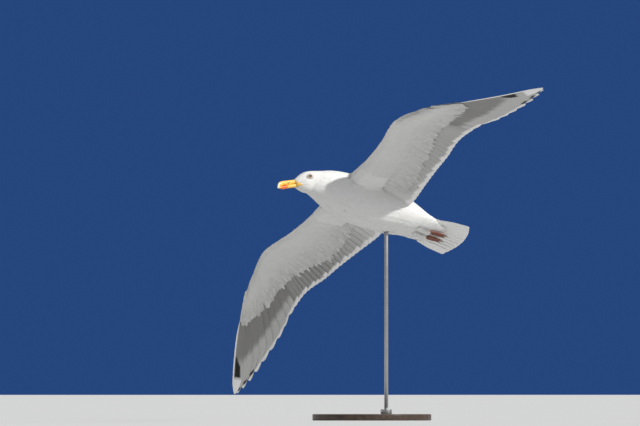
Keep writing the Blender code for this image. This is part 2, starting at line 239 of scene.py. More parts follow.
# Stand collar and rod: a turned steel collar with a rounded shoulder and a socket set screw, on a
# drawn steel rod with a brushed finish. The rod runs up into the belly and carries the bird.
STEEL_LIGHT, STEEL_DARK = (0.52, 0.53, 0.54), (0.33, 0.34, 0.35)
COLLAR_RIM, COLLAR_DISH = 0.0030, 0.0008
SCREW_RADIUS, SCREW_LONG, SCREW_PROUD = 0.0024, 0.0040, 0.0008
SOCKET_RIM, SOCKET_DEEP = 0.0009, 0.0016


def brushed_steel():
    finish = Finish("brushed_steel", Metallic=1.0)
    rings = finish.grain(1.5, 2.0, scale=(30.0, 30.0, 900.0))
    smears = finish.grain(35.0, 4.0)
    colour = finish.blend(rings * 0.6 + smears * 0.4, STEEL_DARK, STEEL_LIGHT)
    return finish.set(Base_Color=colour, Roughness=0.24 + smears * 0.18 + rings * 0.06,
                      Normal=finish.relief(rings, 0.00004, 0.4))


steel = brushed_steel()
collar = turned("stand_collar", "rod_collar", 96)
recess(collar, (0, 0, 1), (COLLAR_RIM, -COLLAR_DISH))
soften(collar, 0.0012, 3, 30)
put_on(collar, steel, "stand_steel", "stand_collar")

low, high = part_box("stand_collar")
bpy.ops.mesh.primitive_cylinder_add(
    vertices=24, radius=SCREW_RADIUS, depth=SCREW_LONG, rotation=(math.radians(90), 0, 0),
    location=(low + high) / 2 - Vector((0, (high.x - low.x) / 2 + SCREW_PROUD, 0)),
)
screw = bpy.context.object
screw.name = "set_screw"
bpy.ops.object.transform_apply(location=True, rotation=True)
recess(screw, (0, -1, 0), (SOCKET_RIM, -SOCKET_DEEP))
set_modifiers(screw, ("BEVEL", {"width": 0.0003, "segments": 2, "limit_method": "ANGLE"}))
put_on(screw, steel, "stand_steel")

rod = turned("stand_rod", "steel_rod", 48)
soften(rod, 0.0006, 2, 30)
put_on(rod, steel, "stand_steel", "stand_rod")


# Skin: the bird's whole hide in one piece, over trunk, neck, head and the flesh of both wings. It
# is drawn thin and tight over a carved body, is tinted like its feathers, and lies below them all.
PITCH_UP, BANK_RIGHT = math.radians(14.4), math.radians(37.0)
SEAT = np.array((-0.004, -0.106, 0.5734))
TURN = np.array(
    Matrix.Rotation(-math.pi / 2, 3, "Z") @ Matrix.Rotation(-PITCH_UP, 3, "Y")
    @ Matrix.Rotation(BANK_RIGHT, 3, "X")
)
FLESH = ("trunk", "neck", "head", "wing_left_arm", "wing_left_hand", "wing_right_arm",
         "wing_right_hand")
SKIN_GRID, SKIN_PROUD, WING_COAT = 0.0024, 0.0006, 0.0009
WHITE = np.array((0.800, 0.798, 0.785))
MANTLE_GREY = np.array((0.335, 0.365, 0.405))


def to_room(points):
    """From the bird's own frame, x ahead and z over its back, to the room."""
    return points @ TURN.T + SEAT


def to_bird(points):
    return (points - SEAT) @ TURN


def unit(vectors):
    return vectors / np.maximum(np.linalg.norm(vectors, axis=-1, keepdims=True), 1e-12)


def ease(low, high, value):
    """0 below low, 1 above high, with a smooth step between, for arrays."""
    share = np.clip((value - low) / (high - low), 0.0, 1.0)
    return share * share * (3 - 2 * share)


def painted(ground, colour, share):
    """One colour laid over another by a share at each place."""
    share = share[..., None]
    return ground * (1 - share) + colour * share


def read(items, key, width, kind=float):
    """One property of a mesh's points, corners or triangles, as an array."""
    values = np.empty(len(items) * width, kind)
    items.foreach_get(key, values)
    return values.reshape(-1, width)


def mesh_arrays(mesh):
    """A mesh's points and triangles."""
    mesh.calc_loop_triangles()
    return read(mesh.vertices, "co", 3), read(mesh.loop_triangles, "vertices", 3, np.int32)


def move_points(piece, points):
    piece.data.vertices.foreach_set("co", points.ravel())
    piece.data.update()


def give_values(piece, name, values):
    """Stores one value, or one colour, at each of a piece's points."""
    values = np.asarray(values, np.float32)
    if values.ndim == 2:
        mark = piece.data.color_attributes.new(name, "FLOAT_COLOR", "POINT")
        colour = np.ones((len(values), 4), np.float32)
        colour[:, :3] = values
        mark.data.foreach_set("color", colour.ravel())
    else:
        mark = piece.data.attributes.new(name, "FLOAT", "POINT")
        mark.data.foreach_set("value", values)


def on_all(piece, tool, **settings):
    """Uses one edit-mode tool on the whole of a piece."""
    pick(piece)
    bpy.ops.object.mode_set(mode="EDIT")
    bpy.ops.mesh.select_all(action="SELECT")
    tool(**settings)
    bpy.ops.object.mode_set(mode="OBJECT")


def spots_of(piece):
    """A piece's points, in the bird's own frame."""
    return to_bird(read(piece.data.vertices, "co", 3))


def remade(names, piece_name, grid, rounds, grown=0.0, shrunk=0.0):
    """A fresh fine mesh over merged copies of CAD nodes, each grown a little, joined, shrunk back
    and softened."""
    made = []
    for name in names:
        copy = bpy.data.objects.new(piece_name, nodes[name].data.copy())
        bpy.context.scene.collection.objects.link(copy)
        on_all(copy, bpy.ops.mesh.remove_doubles, threshold=0.00001)
        if grown:
            on_all(copy, bpy.ops.transform.shrink_fatten, value=grown)
        made.append(copy)
    for copy in made:
        copy.select_set(True)
    bpy.context.view_layer.objects.active = made[0]
    if len(made) > 1:
        bpy.ops.object.join()
    piece = made[0]
    piece.name = piece_name
    set_modifiers(piece, ("REMESH", {"mode": "VOXEL", "voxel_size": grid}))
    if shrunk:
        on_all(piece, bpy.ops.transform.shrink_fatten, value=-shrunk)
    set_modifiers(piece, ("SMOOTH", {"factor": 0.5, "iterations": rounds}))
    bpy.ops.object.shade_smooth()
    return piece


def distance_from(node_names, points):
    """How far each point, in the bird's frame, lies from the surface of some CAD nodes."""
    spots, faces, first = [], [], 0
    for name in node_names:
        own, triangles = mesh_arrays(nodes[name].data)
        spots.append(to_bird(own))
        faces.append(triangles + first)
        first += len(own)
    tree = BVHTree.FromPolygons(np.concatenate(spots).tolist(), np.concatenate(faces).tolist())
    return np.array([tree.find_nearest(p)[3] for p in points.tolist()])


def middle_of(name):
    low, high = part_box(name)
    return to_bird(np.array((low + high) / 2))


EYE_SPOTS = [middle_of("eye_left"), middle_of("eye_right")]
HEAD_LEFT = unit(EYE_SPOTS[0] - EYE_SPOTS[1])
HEAD_UP = unit(np.cross(middle_of("bill_upper") - middle_of("head"), HEAD_LEFT))
HEAD_AHEAD = np.cross(HEAD_LEFT, HEAD_UP)
HEAD_TURN = np.stack([HEAD_AHEAD, HEAD_LEFT, HEAD_UP], 1)
LORE_AT = HEAD_TURN @ np.array((0.0085, 0.0, -0.0025))


def plumage_colour(at, normal):
    """The bird's colour at places on its body: grey mantle, all else white, but a little darker
    grey in front of each eye."""
    x, y, z = at.T
    over = ease(0.002, 0.020, z - (-0.006 + 0.05 * np.clip(x + 0.02, 0, 1)))
    long = ease(-0.205, -0.170, x) * (1 - ease(-0.032, 0.000, x + 0.10 * np.abs(y)))
    colour = painted(WHITE, MANTLE_GREY, over * long * (normal[:, 2] > -0.35))
    for eye in EYE_SPOTS:
        lore = 1 - ease(0.0025, 0.0065, np.linalg.norm(at - eye - LORE_AT, axis=1))
        colour = colour * (1 - 0.28 * lore[:, None])
    return colour


def feather_ground():
    finish = Finish("hide", Roughness=0.8, Specular_IOR_Level=0.2)
    colour = finish.given("plumage_colour", "Color")
    pores = finish.grain(900.0, 2.0)
    colour = finish.blend(pores * 0.25, colour, (0.62, 0.55, 0.50), "MULTIPLY")
    return finish.set(Base_Color=colour, Normal=finish.relief(pores, 0.0003, 0.4))


skin = remade(FLESH, "skin", SKIN_GRID, 12, SKIN_PROUD)
normals = read(skin.data.vertices, "normal", 3) @ TURN
in_bird = spots_of(skin)
off_body = distance_from(("trunk", "neck", "head"), in_bird)
off_wing = distance_from(FLESH[3:], in_bird)
on_wing = ease(-0.002, 0.004, off_body - off_wing)
body_depth = np.interp(in_bird[:, 0], (-0.31, -0.24, 0.02, 0.06, 0.095, 0.134),
                       (0.0028, 0.0044, 0.0046, 0.0030, 0.0019, 0.0012))
depth = SKIN_PROUD + (1 - on_wing) * body_depth + on_wing * WING_COAT
in_bird = in_bird - normals * depth[:, None]
move_points(skin, to_room(in_bird))
give_values(skin, "coat_depth", depth - SKIN_PROUD)
give_values(skin, "plumage_colour", painted(plumage_colour(in_bird, normals), MANTLE_GREY,
                                            on_wing * ease(-0.1, 0.3, normals[:, 2])))
on_all(skin, bpy.ops.uv.smart_project, angle_limit=math.radians(66), island_margin=0.002)
skin.data.uv_layers[0].name = "OFBake"
put_on(skin, feather_ground(), "plumage", *FLESH)


# Eyes: glass balls set deep in the head, with a dull olive iris round a dark pupil under a clear
# wet front. Soft pale lids with a thin brown rim hold each one in its socket.
LEAN_AHEAD, LEAN_UP, IRIS_SPREAD = 0.22, 0.16, 70
LID_ROUND, LID_TUBE = 72, 14
OPEN_LONG, OPEN_ABOVE, OPEN_BELOW = 0.0053, 0.0038, 0.0042


def eye_finish():
    finish = Finish("glass_eye", Roughness=0.12, Coat_Weight=1.0, Coat_Roughness=0.03)
    reach = finish.given("from_pupil")
    threads = finish.grain(1600.0, 3.0)
    stops = [(0.0, (0.004, 0.004, 0.005)), (0.30, (0.005, 0.004, 0.004)),
             (0.36, (0.17, 0.13, 0.050)), (0.50, (0.28, 0.235, 0.105)),
             (0.70, (0.21, 0.17, 0.080)), (0.86, (0.10, 0.078, 0.042)),
             (1.0, (0.080, 0.062, 0.040))]
    colour = finish.node("ValToRGB", {"stops": stops}, [reach + (threads - 0.5) * 0.05])
    return finish.set(Base_Color=colour, Roughness=0.10 + threads * 0.06)


def lid_finish():
    finish = Finish("lid_skin", Specular_IOR_Level=0.4)
    rim = finish.given("rim")
    pits = finish.grain(1400.0, 3.0)
    colour = finish.blend(finish.within(rim, 0.35, 0.75), (0.66, 0.64, 0.60),
                          (0.33, 0.21, 0.10))
    colour = finish.blend(pits * 0.4, colour, (0.30, 0.20, 0.14))
    return finish.set(Base_Color=colour, Roughness=0.40 + pits * 0.2,
                      Normal=finish.relief(pits, 0.0001, 0.6))


def plain_ring(name, segments, tube):
    """A closed ring to be shaped: the piece, and for each point which way it lies round the ring,
    how far out in the tube, from -1 to 1, and how far up."""
    bpy.ops.mesh.primitive_torus_add(
        major_segments=segments, minor_segments=tube, major_radius=1.0, minor_radius=0.2
    )
    piece = bpy.context.object
    piece.name = name
    ring = read(piece.data.vertices, "co", 3)
    outward = (np.linalg.norm(ring[:, :2], axis=1) - 1.0) / 0.2
    return piece, unit(ring * (1, 1, 0)), outward, ring[:, 2] / 0.2


def close_ring(piece, points):
    """Shapes a ring and turns its faces outwards."""
    move_points(piece, points)
    on_all(piece, bpy.ops.mesh.normals_make_consistent, inside=False)
    bpy.ops.object.shade_smooth()


eye_glass, lid_skin = eye_finish(), lid_finish()
for side in ("left", "right"):
    low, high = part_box("eye_" + side)
    centre, radius = (low + high) / 2, (high.x - low.x) / 2
    lean = np.array((LEAN_AHEAD, 1.0 if side == "left" else -1.0, LEAN_UP))
    axis = unit(TURN @ HEAD_TURN @ lean)
    ahead = unit(np.cross(np.cross(axis, TURN @ HEAD_AHEAD), axis))
    above = TURN @ HEAD_UP
    bpy.ops.mesh.primitive_uv_sphere_add(segments=56, ring_count=36, radius=radius, location=centre)
    ball = bpy.context.object
    ball.name = side + "_eye"
    bpy.ops.object.transform_apply(location=True)
    away = unit(read(ball.data.vertices, "co", 3) - np.array(centre))
    off_axis = np.degrees(np.arccos(np.clip(away @ axis, -1, 1)))
    give_values(ball, "from_pupil", off_axis / IRIS_SPREAD)
    bpy.ops.object.shade_smooth()
    put_on(ball, eye_glass, "eye", "eye_" + side)

    lids, around, outward, swell = plain_ring(side + "_eyelids", LID_ROUND, LID_TUBE)
    open_wide = np.where(around[:, 1] > 0, OPEN_ABOVE, OPEN_BELOW)
    outer = outward > 0
    reach_ahead = around[:, 0] * (OPEN_LONG + np.where(outer, 0.0026, 0.0009) * outward)
    reach_above = around[:, 1] * (open_wide + np.where(outer, 0.0032, 0.0014) * outward)
    flat = ahead * reach_ahead[:, None] + above * reach_above[:, None]
    flat = flat - axis * (flat @ axis)[:, None]
    seat = radius * (0.60 - 0.34 * np.clip(outward, 0, 1))
    lift = np.sqrt(np.maximum(radius**2 - (flat**2).sum(1), seat**2))
    spots = (flat + axis * lift[:, None]) * (1 + (0.0001 + 0.00055 * swell) / radius)[:, None]
    give_values(lids, "rim", 0.5 - 0.5 * outward)
    close_ring(lids, spots + np.array(centre))
    put_on(lids, lid_skin, "eye")


# Bill: two horny halves, the upper one hooked over the lower at the tip, with a shallow slit
# nostril in each side, painted near black as painted shade for the depth of the opening. They are
# cast with their colours: yellow horn, an orange-red spot and an ivory tip.
HORN_PROUD = 0.00045
NOSTRIL_AT, NOSTRIL_RISE = 0.44, 0.0055
NOSTRIL_LONG, NOSTRIL_HIGH, NOSTRIL_DEEP = 0.085, 0.0011, 0.0009
BILL_GRID, BILL_ENDS = 0.00055, (0.006, 0.004)


def bill_finish():
    finish = Finish("bill_horn", Specular_IOR_Level=0.45, Coat_Weight=0.15, Coat_Roughness=0.3)
    along, height, lower = finish.given("along"), finish.given("height"), finish.given("lower")
    mottle = finish.grain(180.0, 4.0)
    fine = finish.grain(900.0, 2.0)
    yellow = finish.blend(finish.within(mottle, 0.35, 0.65), (0.78, 0.42, 0.050),
                          (0.88, 0.56, 0.095))
    pale = 1 - finish.within(along + (mottle - 0.5) * 0.12, 0.02, 0.22)
    colour = finish.blend(pale * 0.35, yellow, (0.74, 0.52, 0.20))
    off_spot = abs(along - 0.66) + (mottle - 0.5) * 0.10 + (1 - lower) * (height * 0.42 - 0.13)
    spot = 1 - finish.within(off_spot, 0.12, 0.26)
    colour = finish.blend(spot, colour, (0.68, 0.140, 0.010))
    tip = finish.within(along + (mottle - 0.5) * 0.06, 0.86, 0.95)
    colour = finish.blend(tip, colour, (0.78, 0.70, 0.50))
    # Painted shade: the nostril slit is darkened near black, as the shade inside a deep opening.
    colour = finish.blend(finish.given("nostril"), colour, (0.045, 0.020, 0.010))
    return finish.set(Base_Color=colour, Roughness=0.30 + mottle * 0.15 + fine * 0.08,
                      Normal=finish.relief(fine * 0.5 + mottle, 0.00012, 0.5))


def horn_values(piece, along, height, lower, nostril):
    """What the horn's finish reads from a piece."""
    for name, values in (("along", along), ("height", height), ("lower", lower),
                         ("nostril", nostril)):
        give_values(piece, name, np.broadcast_to(values, len(piece.data.vertices)))


horn = bill_finish()
bill_spots = np.concatenate([spots_of(nodes[name]) for name in ("bill_upper", "bill_lower")])
BILL_BACK, BILL_FRONT = bill_spots[:, 0].min(), bill_spots[:, 0].max()
bill_root = bill_spots[bill_spots[:, 0] < BILL_BACK + BILL_ENDS[0]]
bill_base = bill_root.mean(0)
bill_tip = bill_spots[bill_spots[:, 0] > BILL_FRONT - BILL_ENDS[1]].mean(0)
for name, lower in (("bill_upper", 0.0), ("bill_lower", 1.0)):
    bill = remade([name], name.replace("_", "_half_"), BILL_GRID, 6)
    set_modifiers(bill, ("DISPLACE", {"strength": HORN_PROUD, "mid_level": 0.0}))
    spots = spots_of(bill)
    along = (spots[:, 0] - BILL_BACK) / (BILL_FRONT - BILL_BACK)
    centre = bill_base + (bill_tip - bill_base) * along[:, None]
    local = (spots - centre) @ HEAD_TURN
    hole = np.zeros(len(spots))
    if lower == 0.0:
        off = along - NOSTRIL_AT
        slit = ((off / NOSTRIL_LONG) ** 2
                + ((local[:, 2] - NOSTRIL_RISE + 0.004 * off) / NOSTRIL_HIGH) ** 2)
        hole = (1 - ease(0.5, 1.3, slit)) * (np.abs(local[:, 1]) > 0.0015)
        local[:, 1] -= np.sign(local[:, 1]) * hole * NOSTRIL_DEEP
        move_points(bill, to_room(centre + local @ HEAD_TURN.T))
    horn_values(bill, along, np.clip((local[:, 2] + 0.008) / 0.016, 0, 1), lower, hole)
    put_on(bill, horn, "bill", name)


# Bill band: the soft yellow skin round the root of the bill, where the horn meets the feathers of
# the face. It is one closed ring that bridges the narrow step between them.
BAND_SUNK, BAND_THICK, BAND_WIDE, BAND_BACK = 0.0009, 0.0011, 0.0017, 0.0028
band, around, outward, swell = plain_ring("bill_band", 64, 12)
ray = around[:, :1] * HEAD_LEFT + around[:, 1:2] * HEAD_UP
reach = (ray @ (bill_root - bill_base).T).max(1) - BAND_SUNK + BAND_THICK * outward
along = BAND_WIDE * swell - BAND_BACK
spots = bill_base + ray * reach[:, None] + HEAD_AHEAD * along[:, None]
horn_values(band, 0.03, 0.5, 1.0, 0.0)
close_ring(band, to_room(spots))
put_on(band, horn, "bill")


# Legs and feet: scaly legs laid back under the tail, with three webbed toes folded together on each
# foot, cast in tinted resin, and hard black claws set in the toes' ends.
def leg_finish():
    finish = Finish("leg_skin", Specular_IOR_Level=0.35)
    scales = finish.node("TexVoronoi", {"feature": "DISTANCE_TO_EDGE"},
                         {"Vector": finish.place(), "Scale": 520.0})
    mottle = finish.grain(120.0, 4.0)
    along = finish.given("along")
    colour = finish.blend(finish.within(mottle, 0.3, 0.7), (0.170, 0.056, 0.036),
                          (0.290, 0.110, 0.075))
    colour = finish.blend(1 - finish.within(along, 0.15, 0.42), colour, (0.150, 0.078, 0.056))
    seam = 1 - finish.within(scales, 0.0, 0.12)
    colour = finish.blend(seam * 0.55, colour, (0.045, 0.022, 0.018))
    return finish.set(Base_Color=colour, Roughness=0.48 + mottle * 0.15,
                      Normal=finish.relief(finish.within(scales, 0.0, 0.25), 0.0002, 0.6))


def claw_finish():
    finish = Finish("claw_horn", Specular_IOR_Level=0.5)
    lines = finish.grain(700.0, scale=(1, 1, 3))
    colour = finish.blend(lines, (0.012, 0.010, 0.010), (0.040, 0.034, 0.030))
    return finish.set(Base_Color=colour, Roughness=0.28 + lines * 0.15)


LEG_GRID, LEG_FILL, CLAW_GRID = 0.0008, 0.0009, 0.00035
leg_skin, claw_horn = leg_finish(), claw_finish()
for side in ("left", "right"):
    foot = remade(["leg_" + side, "foot_" + side], side + "_leg_and_foot", LEG_GRID, 4,
                  LEG_FILL, LEG_FILL * 0.8)
    spots = spots_of(foot)
    give_values(foot, "along", (spots[:, 0].max() - spots[:, 0]) / np.ptp(spots[:, 0]))
    put_on(foot, leg_skin, "leg_skin", "leg_" + side, "foot_" + side)
    for toe in ("1", "2", "3"):
        claw = remade(["claw_" + side + "_" + toe], side + "_claw_" + toe, CLAW_GRID, 2)
        put_on(claw, claw_horn, "claw", "claw_" + side + "_" + toe)


# Flight feathers: ten primaries on the hand and twenty-four secondaries on the forearm, each a long
# closed vane on its own quill. Its narrow outer edge lies over the feather outside it and its wide
# inner edge under the feather inside it, so the wing closes like a fan.
WING_LINES = np.array((
    # place, front line x y z, rear line x y z, bow of the middle x z
    (0.000, 0.0040, 0.030, 0.000, -0.1840, 0.040, -0.024, 0.000, 0.016),
    (0.080, 0.0020, 0.065, 0.003, -0.1840, 0.078, -0.025, 0.000, 0.015),
    (0.220, -0.0030, 0.130, 0.012, -0.1700, 0.140, -0.029, 0.000, 0.014),
    (0.360, 0.0010, 0.195, 0.016, -0.1580, 0.206, -0.031, 0.000, 0.013),
    (0.480, 0.0140, 0.243, 0.016, -0.1490, 0.263, -0.034, 0.000, 0.012),
    (0.560, 0.0230, 0.275, 0.012, -0.1390, 0.333, -0.032, 0.001, 0.009),
    (0.600, 0.0200, 0.294, 0.011, -0.1450, 0.396, -0.040, 0.002, 0.006),
    (0.685, 0.0135, 0.322, 0.006, -0.1510, 0.465, -0.066, 0.003, 0.002),
    (0.770, 0.0080, 0.347, -0.003, -0.1470, 0.535, -0.093, 0.006, -0.003),
    (0.853, 0.0040, 0.369, -0.010, -0.1450, 0.601, -0.111, 0.009, -0.007),
    (0.937, 0.0005, 0.388, -0.020, -0.1390, 0.650, -0.118, 0.012, -0.011),
    (1.000, 0.0020, 0.398, -0.023, -0.1285, 0.657, -0.118, 0.013, -0.012),
))
WRIST, REAR_END = 0.58, 0.590
PRIMARIES, SECONDARIES = 10, 24
SECONDARY_OUT, SECONDARY_IN = 0.0110, 0.0165
QUILL_ROOT, QUILL_TAPER = 0.0010, 0.0008
VANE_HALF, VANE_EDGE, VANE_RIPPLE = 0.00015, 0.00005, 0.00012
SHORT_STEPS = (0.25, 0.6, 1.0)
# The flight feathers' greys below are partly their own grey and partly painted shade; the
# primaries' grey below is darker than their grey above.
UNDER_PRIMARY_GREY_AND_SHADE = np.array((0.270, 0.265, 0.260))
UNDER_TONGUE = np.array((0.540, 0.535, 0.525))
UNDER_SECONDARY_GREY_AND_SHADE = np.array((0.430, 0.425, 0.415))
TIP_BLACK = np.array((0.007, 0.006, 0.006))
# White ends of the flight feathers, painted brighter than the body's white: painted light, as if
# shining through the thin tips.
EDGE_WHITE_PAINTED_LIGHT = np.array((0.930, 0.930, 0.920))


def along_table(places, values, at):
    """A smooth curve through a table's values."""
    rise = np.empty_like(values)
    rise[1:-1] = (values[2:] - values[:-2]) / (places[2:] - places[:-2])[:, None]
    rise[0] = (values[1] - values[0]) / (places[1] - places[0])
    rise[-1] = (values[-1] - values[-2]) / (places[-1] - places[-2])
    at = np.asarray(at, float)
    low = np.clip(np.searchsorted(places, at) - 1, 0, len(places) - 2)
    span = (places[low + 1] - places[low])
    t = ((at - places[low]) / span)[..., None]
    span = span[..., None]
    return ((2 * t**3 - 3 * t**2 + 1) * values[low] + (t**3 - 2 * t**2 + t) * span * rise[low]
            + (3 * t**2 - 2 * t**3) * values[low + 1] + (t**3 - t**2) * span * rise[low + 1])


def wing_point(place, across):
    """A point on the left wing's middle surface: place 0 at the shoulder to 1 at the tip feather's
    front edge, across 0 at the front of the wing to 1 at its rear edge."""
    place, across = np.broadcast_arrays(np.asarray(place, float), np.asarray(across, float))
    row = along_table(WING_LINES[:, 0], WING_LINES[:, 1:], np.clip(place, 0.0, 1.0))
    front, rear = row[..., 0:3], row[..., 3:6]
    bow = np.stack([row[..., 6], np.zeros(place.shape), row[..., 7]], -1)
    share = across[..., None]
    middle = (front + rear) / 2 + 2 * bow
    return front * (1 - share) ** 2 + middle * 2 * share * (1 - share) + rear * share**2


def wing_frame(place, across):
    """The point, the way to the rear edge, the way out to the tip and the way up, on the wing."""
    step = 0.004
    place = np.asarray(place, float)
    inner, outer = np.clip(place - step, 0, 1), np.clip(place + step, 0, 1)
    at = wing_point(place, across)
    back = unit(wing_point(place, across + step) - wing_point(place, across - step))
    out = unit(wing_point(outer, across) - wing_point(inner, across))
    up = unit(np.cross(out, back))
    up *= np.sign(up[..., 2:3])
    out = unit(np.cross(back, up))
    out *= np.sign(out[..., 1:2])
    return at, back, out, up


def fill_mesh(name, points, faces, attributes, uv=None):
    """A mesh from arrays: its points, four-sided faces, values at its points, and its map."""
    mesh = bpy.data.meshes.new(name)
    mesh.vertices.add(len(points))
    mesh.vertices.foreach_set("co", points.astype(np.float32).ravel())
    mesh.loops.add(faces.size)
    mesh.loops.foreach_set("vertex_index", faces.astype(np.int32).ravel())
    mesh.polygons.add(len(faces))
    mesh.polygons.foreach_set("loop_start", np.arange(0, faces.size, 4, dtype=np.int32))
    mesh.update(calc_edges=True)
    if uv is not None:
        layer = mesh.uv_layers.new(name="OFBake")
        layer.data.foreach_set("uv", uv[faces.ravel()].astype(np.float32).ravel())
    mesh.shade_smooth()
    mesh.set_sharp_from_angle(angle=math.radians(42))
    piece = bpy.data.objects.new(name, mesh)
    bpy.context.scene.collection.objects.link(piece)
    for key, values in attributes.items():
        give_values(piece, key, values)
    return piece


def feather_mesh(name, points, faces, along, across, colour, uv):
    """Feathers in the bird's own frame as one piece in the room."""
    return fill_mesh(name, to_room(points), faces,
                     {"along": along, "across": across, "plumage_colour": colour}, uv)


def quads(*corners):
    return np.stack(corners, -1).reshape(-1, 4)


def closed_sheets(top, low):
    """Faces that close two layers of points into thin sheets, each of rows and columns."""
    return np.concatenate([
        quads(top[:, :-1, :-1], top[:, 1:, :-1], top[:, 1:, 1:], top[:, :-1, 1:]),
        quads(low[:, :-1, :-1], low[:, :-1, 1:], low[:, 1:, 1:], low[:, 1:, :-1]),
        quads(top[:, :-1, 0], low[:, :-1, 0], low[:, 1:, 0], top[:, 1:, 0]),
        quads(top[:, :-1, -1], top[:, 1:, -1], low[:, 1:, -1], low[:, :-1, -1]),
        quads(top[:, 0, :-1], top[:, 0, 1:], low[:, 0, 1:], low[:, 0, :-1]),
        quads(top[:, -1, :-1], low[:, -1, :-1], low[:, -1, 1:], top[:, -1, 1:]),
    ])


def plumage(name, barbs, gloss=0.55, relief=0.00012):
    """Feather finish: its own colour, fine slanting barbs, a paler quill line and soft wear."""
    finish = Finish(name, Specular_IOR_Level=0.22, Sheen_Weight=0.12, Sheen_Roughness=0.5)
    colour = finish.given("plumage_colour", "Color")
    along, across = finish.given("along"), finish.given("across")
    side = abs(across)
    slant = along * barbs - side * (barbs * 0.10)
    wave = finish.node("Math", {"operation": "SINE"}, [slant * 6.2832])
    wave = wave * 0.5 + 0.5
    cloud = finish.grain(60.0, 3.0)
    fleck = finish.grain(420.0, 2.0)
    quill = 1 - finish.within(side, 0.02, 0.10)
    dim = 0.93 + wave * 0.05 + cloud * 0.06 - fleck * 0.03
    shade = finish.node("CombineColor", None, [dim, dim, dim])
    colour = finish.blend(1.0, colour, shade, "MULTIPLY")
    colour = finish.blend(quill * 0.18, colour, (0.62, 0.58, 0.52))
    height = wave * 0.5 + fleck * 0.4 + quill * 0.8
    return finish.set(Base_Color=colour, Roughness=gloss + cloud * 0.15 + fleck * 0.1,
                      Normal=finish.relief(height, relief, 0.5))


def long_vanes(frame_at, stations, wide_out, wide_in, steps, splay, colours, seed):
    """Long closed vanes, one per feather: points, faces, values and map as arrays.
    Widths are one row per feather, and steps are shares of the width on each side."""
    draw = np.random.default_rng(seed)
    at, out, up = frame_at
    number, rows = wide_out.shape
    nick = draw.random((number, rows, 2)) < 0.03
    nick[:, -12:] = False
    wide_out = wide_out * np.where(nick[..., 0], 0.90, 1.0)
    wide_in = wide_in * np.where(nick[..., 1], 0.93, 1.0)
    quill = np.minimum(QUILL_ROOT - QUILL_TAPER * stations, 0.25 * np.minimum(wide_out, wide_in))
    side = np.concatenate([-np.array(steps[::-1]), (-0.05, 0.0, 0.05), steps])
    lateral = np.stack([-share * wide_out if share < 0 else -share * wide_in for share in side], -1)
    columns = len(side)
    middle = columns // 2
    lateral[..., middle - 1], lateral[..., middle + 1] = quill, -quill
    camber = -0.035 * lateral**2 / np.maximum(wide_in.max(1), 0.001)[:, None, None]
    ridge = np.zeros_like(lateral)
    ridge[..., middle] = quill * 0.8
    ridge[..., middle - 1] = ridge[..., middle + 1] = quill * 0.25
    sheet = np.full_like(lateral, VANE_HALF)
    sheet[..., 0] = sheet[..., -1] = VANE_EDGE
    wave = draw.random((number, 1, 1)) * 6.28 + stations[None, :, None] * 7
    ripple = VANE_RIPPLE * np.sin(wave) * stations[None, :, None]
    tilt = splay * (0.45 + 0.55 * ease(0.1, 0.6, stations))[None, :, None]
    height = tilt * lateral + camber + ripple
    base = at[:, :, None] + out[:, :, None] * lateral[..., None]
    top = base + up[:, :, None] * (height + sheet + ridge)[..., None]
    low = base + up[:, :, None] * (height - sheet - ridge * 1.2)[..., None]
    points = np.stack([top, low], 1)
    index = np.arange(points[..., 0].size).reshape(number, 2, rows, columns)
    faces = closed_sheets(index[:, 0], index[:, 1])
    feather, under, run, whole, depth = np.broadcast_arrays(
        np.arange(number)[:, None, None, None], np.arange(2)[:, None, None], stations[:, None],
        side, -lateral[:, None],
    )
    tint = colours(feather, run, whole, depth, under)
    tint = tint * draw.normal(1.0, 0.012, (number, 1, 1, 1, 1))
    across_map = (feather * 2 + under + 0.5 + whole * 0.45) / (2 * number)
    uv = np.stack([across_map, 0.01 + 0.98 * run], -1).reshape(-1, 2)
    return points.reshape(-1, 3), faces, run.ravel(), whole.ravel(), tint.reshape(-1, 3), uv


def length_along(line):
    """How far each point of a line lies from its start, along it."""
    return np.append(0, np.cumsum(np.linalg.norm(line[1:] - line[:-1], axis=1)))


def wing_vanes(start, centre, root, stations):
    """Where the rows of a wing's flight feathers lie: square across at the root, and slanting
    with the wing's rear edge at the tip."""
    across = start + (1 - start) * stations[None, :]
    place = centre[:, None] + (root - centre)[:, None] * (1 - stations[None, :]) ** 2
    at, _, out, up = wing_frame(place, across)
    level = unit(wing_point(np.minimum(place + 0.004, 1), across)
                 - wing_point(place - 0.004, across))
    level /= np.maximum((level * out).sum(-1, keepdims=True), 0.5)
    slope = ease(0.35, 0.95, stations)[None, :, None]
    return at, out * (1 - slope) + level * slope, up


def mirror_wing(points, faces, side):
    """Turns the left wing's points into the right wing's, with the faces still outwards."""
    return (points, faces) if side == "left" else (points * (1, -1, 1), faces[:, ::-1])


def run_of(count, close):
    """The rows of a vane from root to tip, drawn closer together towards the tip."""
    return 1 - (1 - np.linspace(0, 1, count)) ** close


def blunt(run, start, roundness):
    """A vane's width towards its tip, which is rounded from the start to the end."""
    return np.sqrt(np.clip(1 - np.clip((run - start) / (1 - start), 0, 1) ** roundness, 0.004, 1))


def past(edge, soft, value):
    """0 before an edge and 1 past it, with a soft step centred on it."""
    return ease(edge - soft, edge + soft, value)


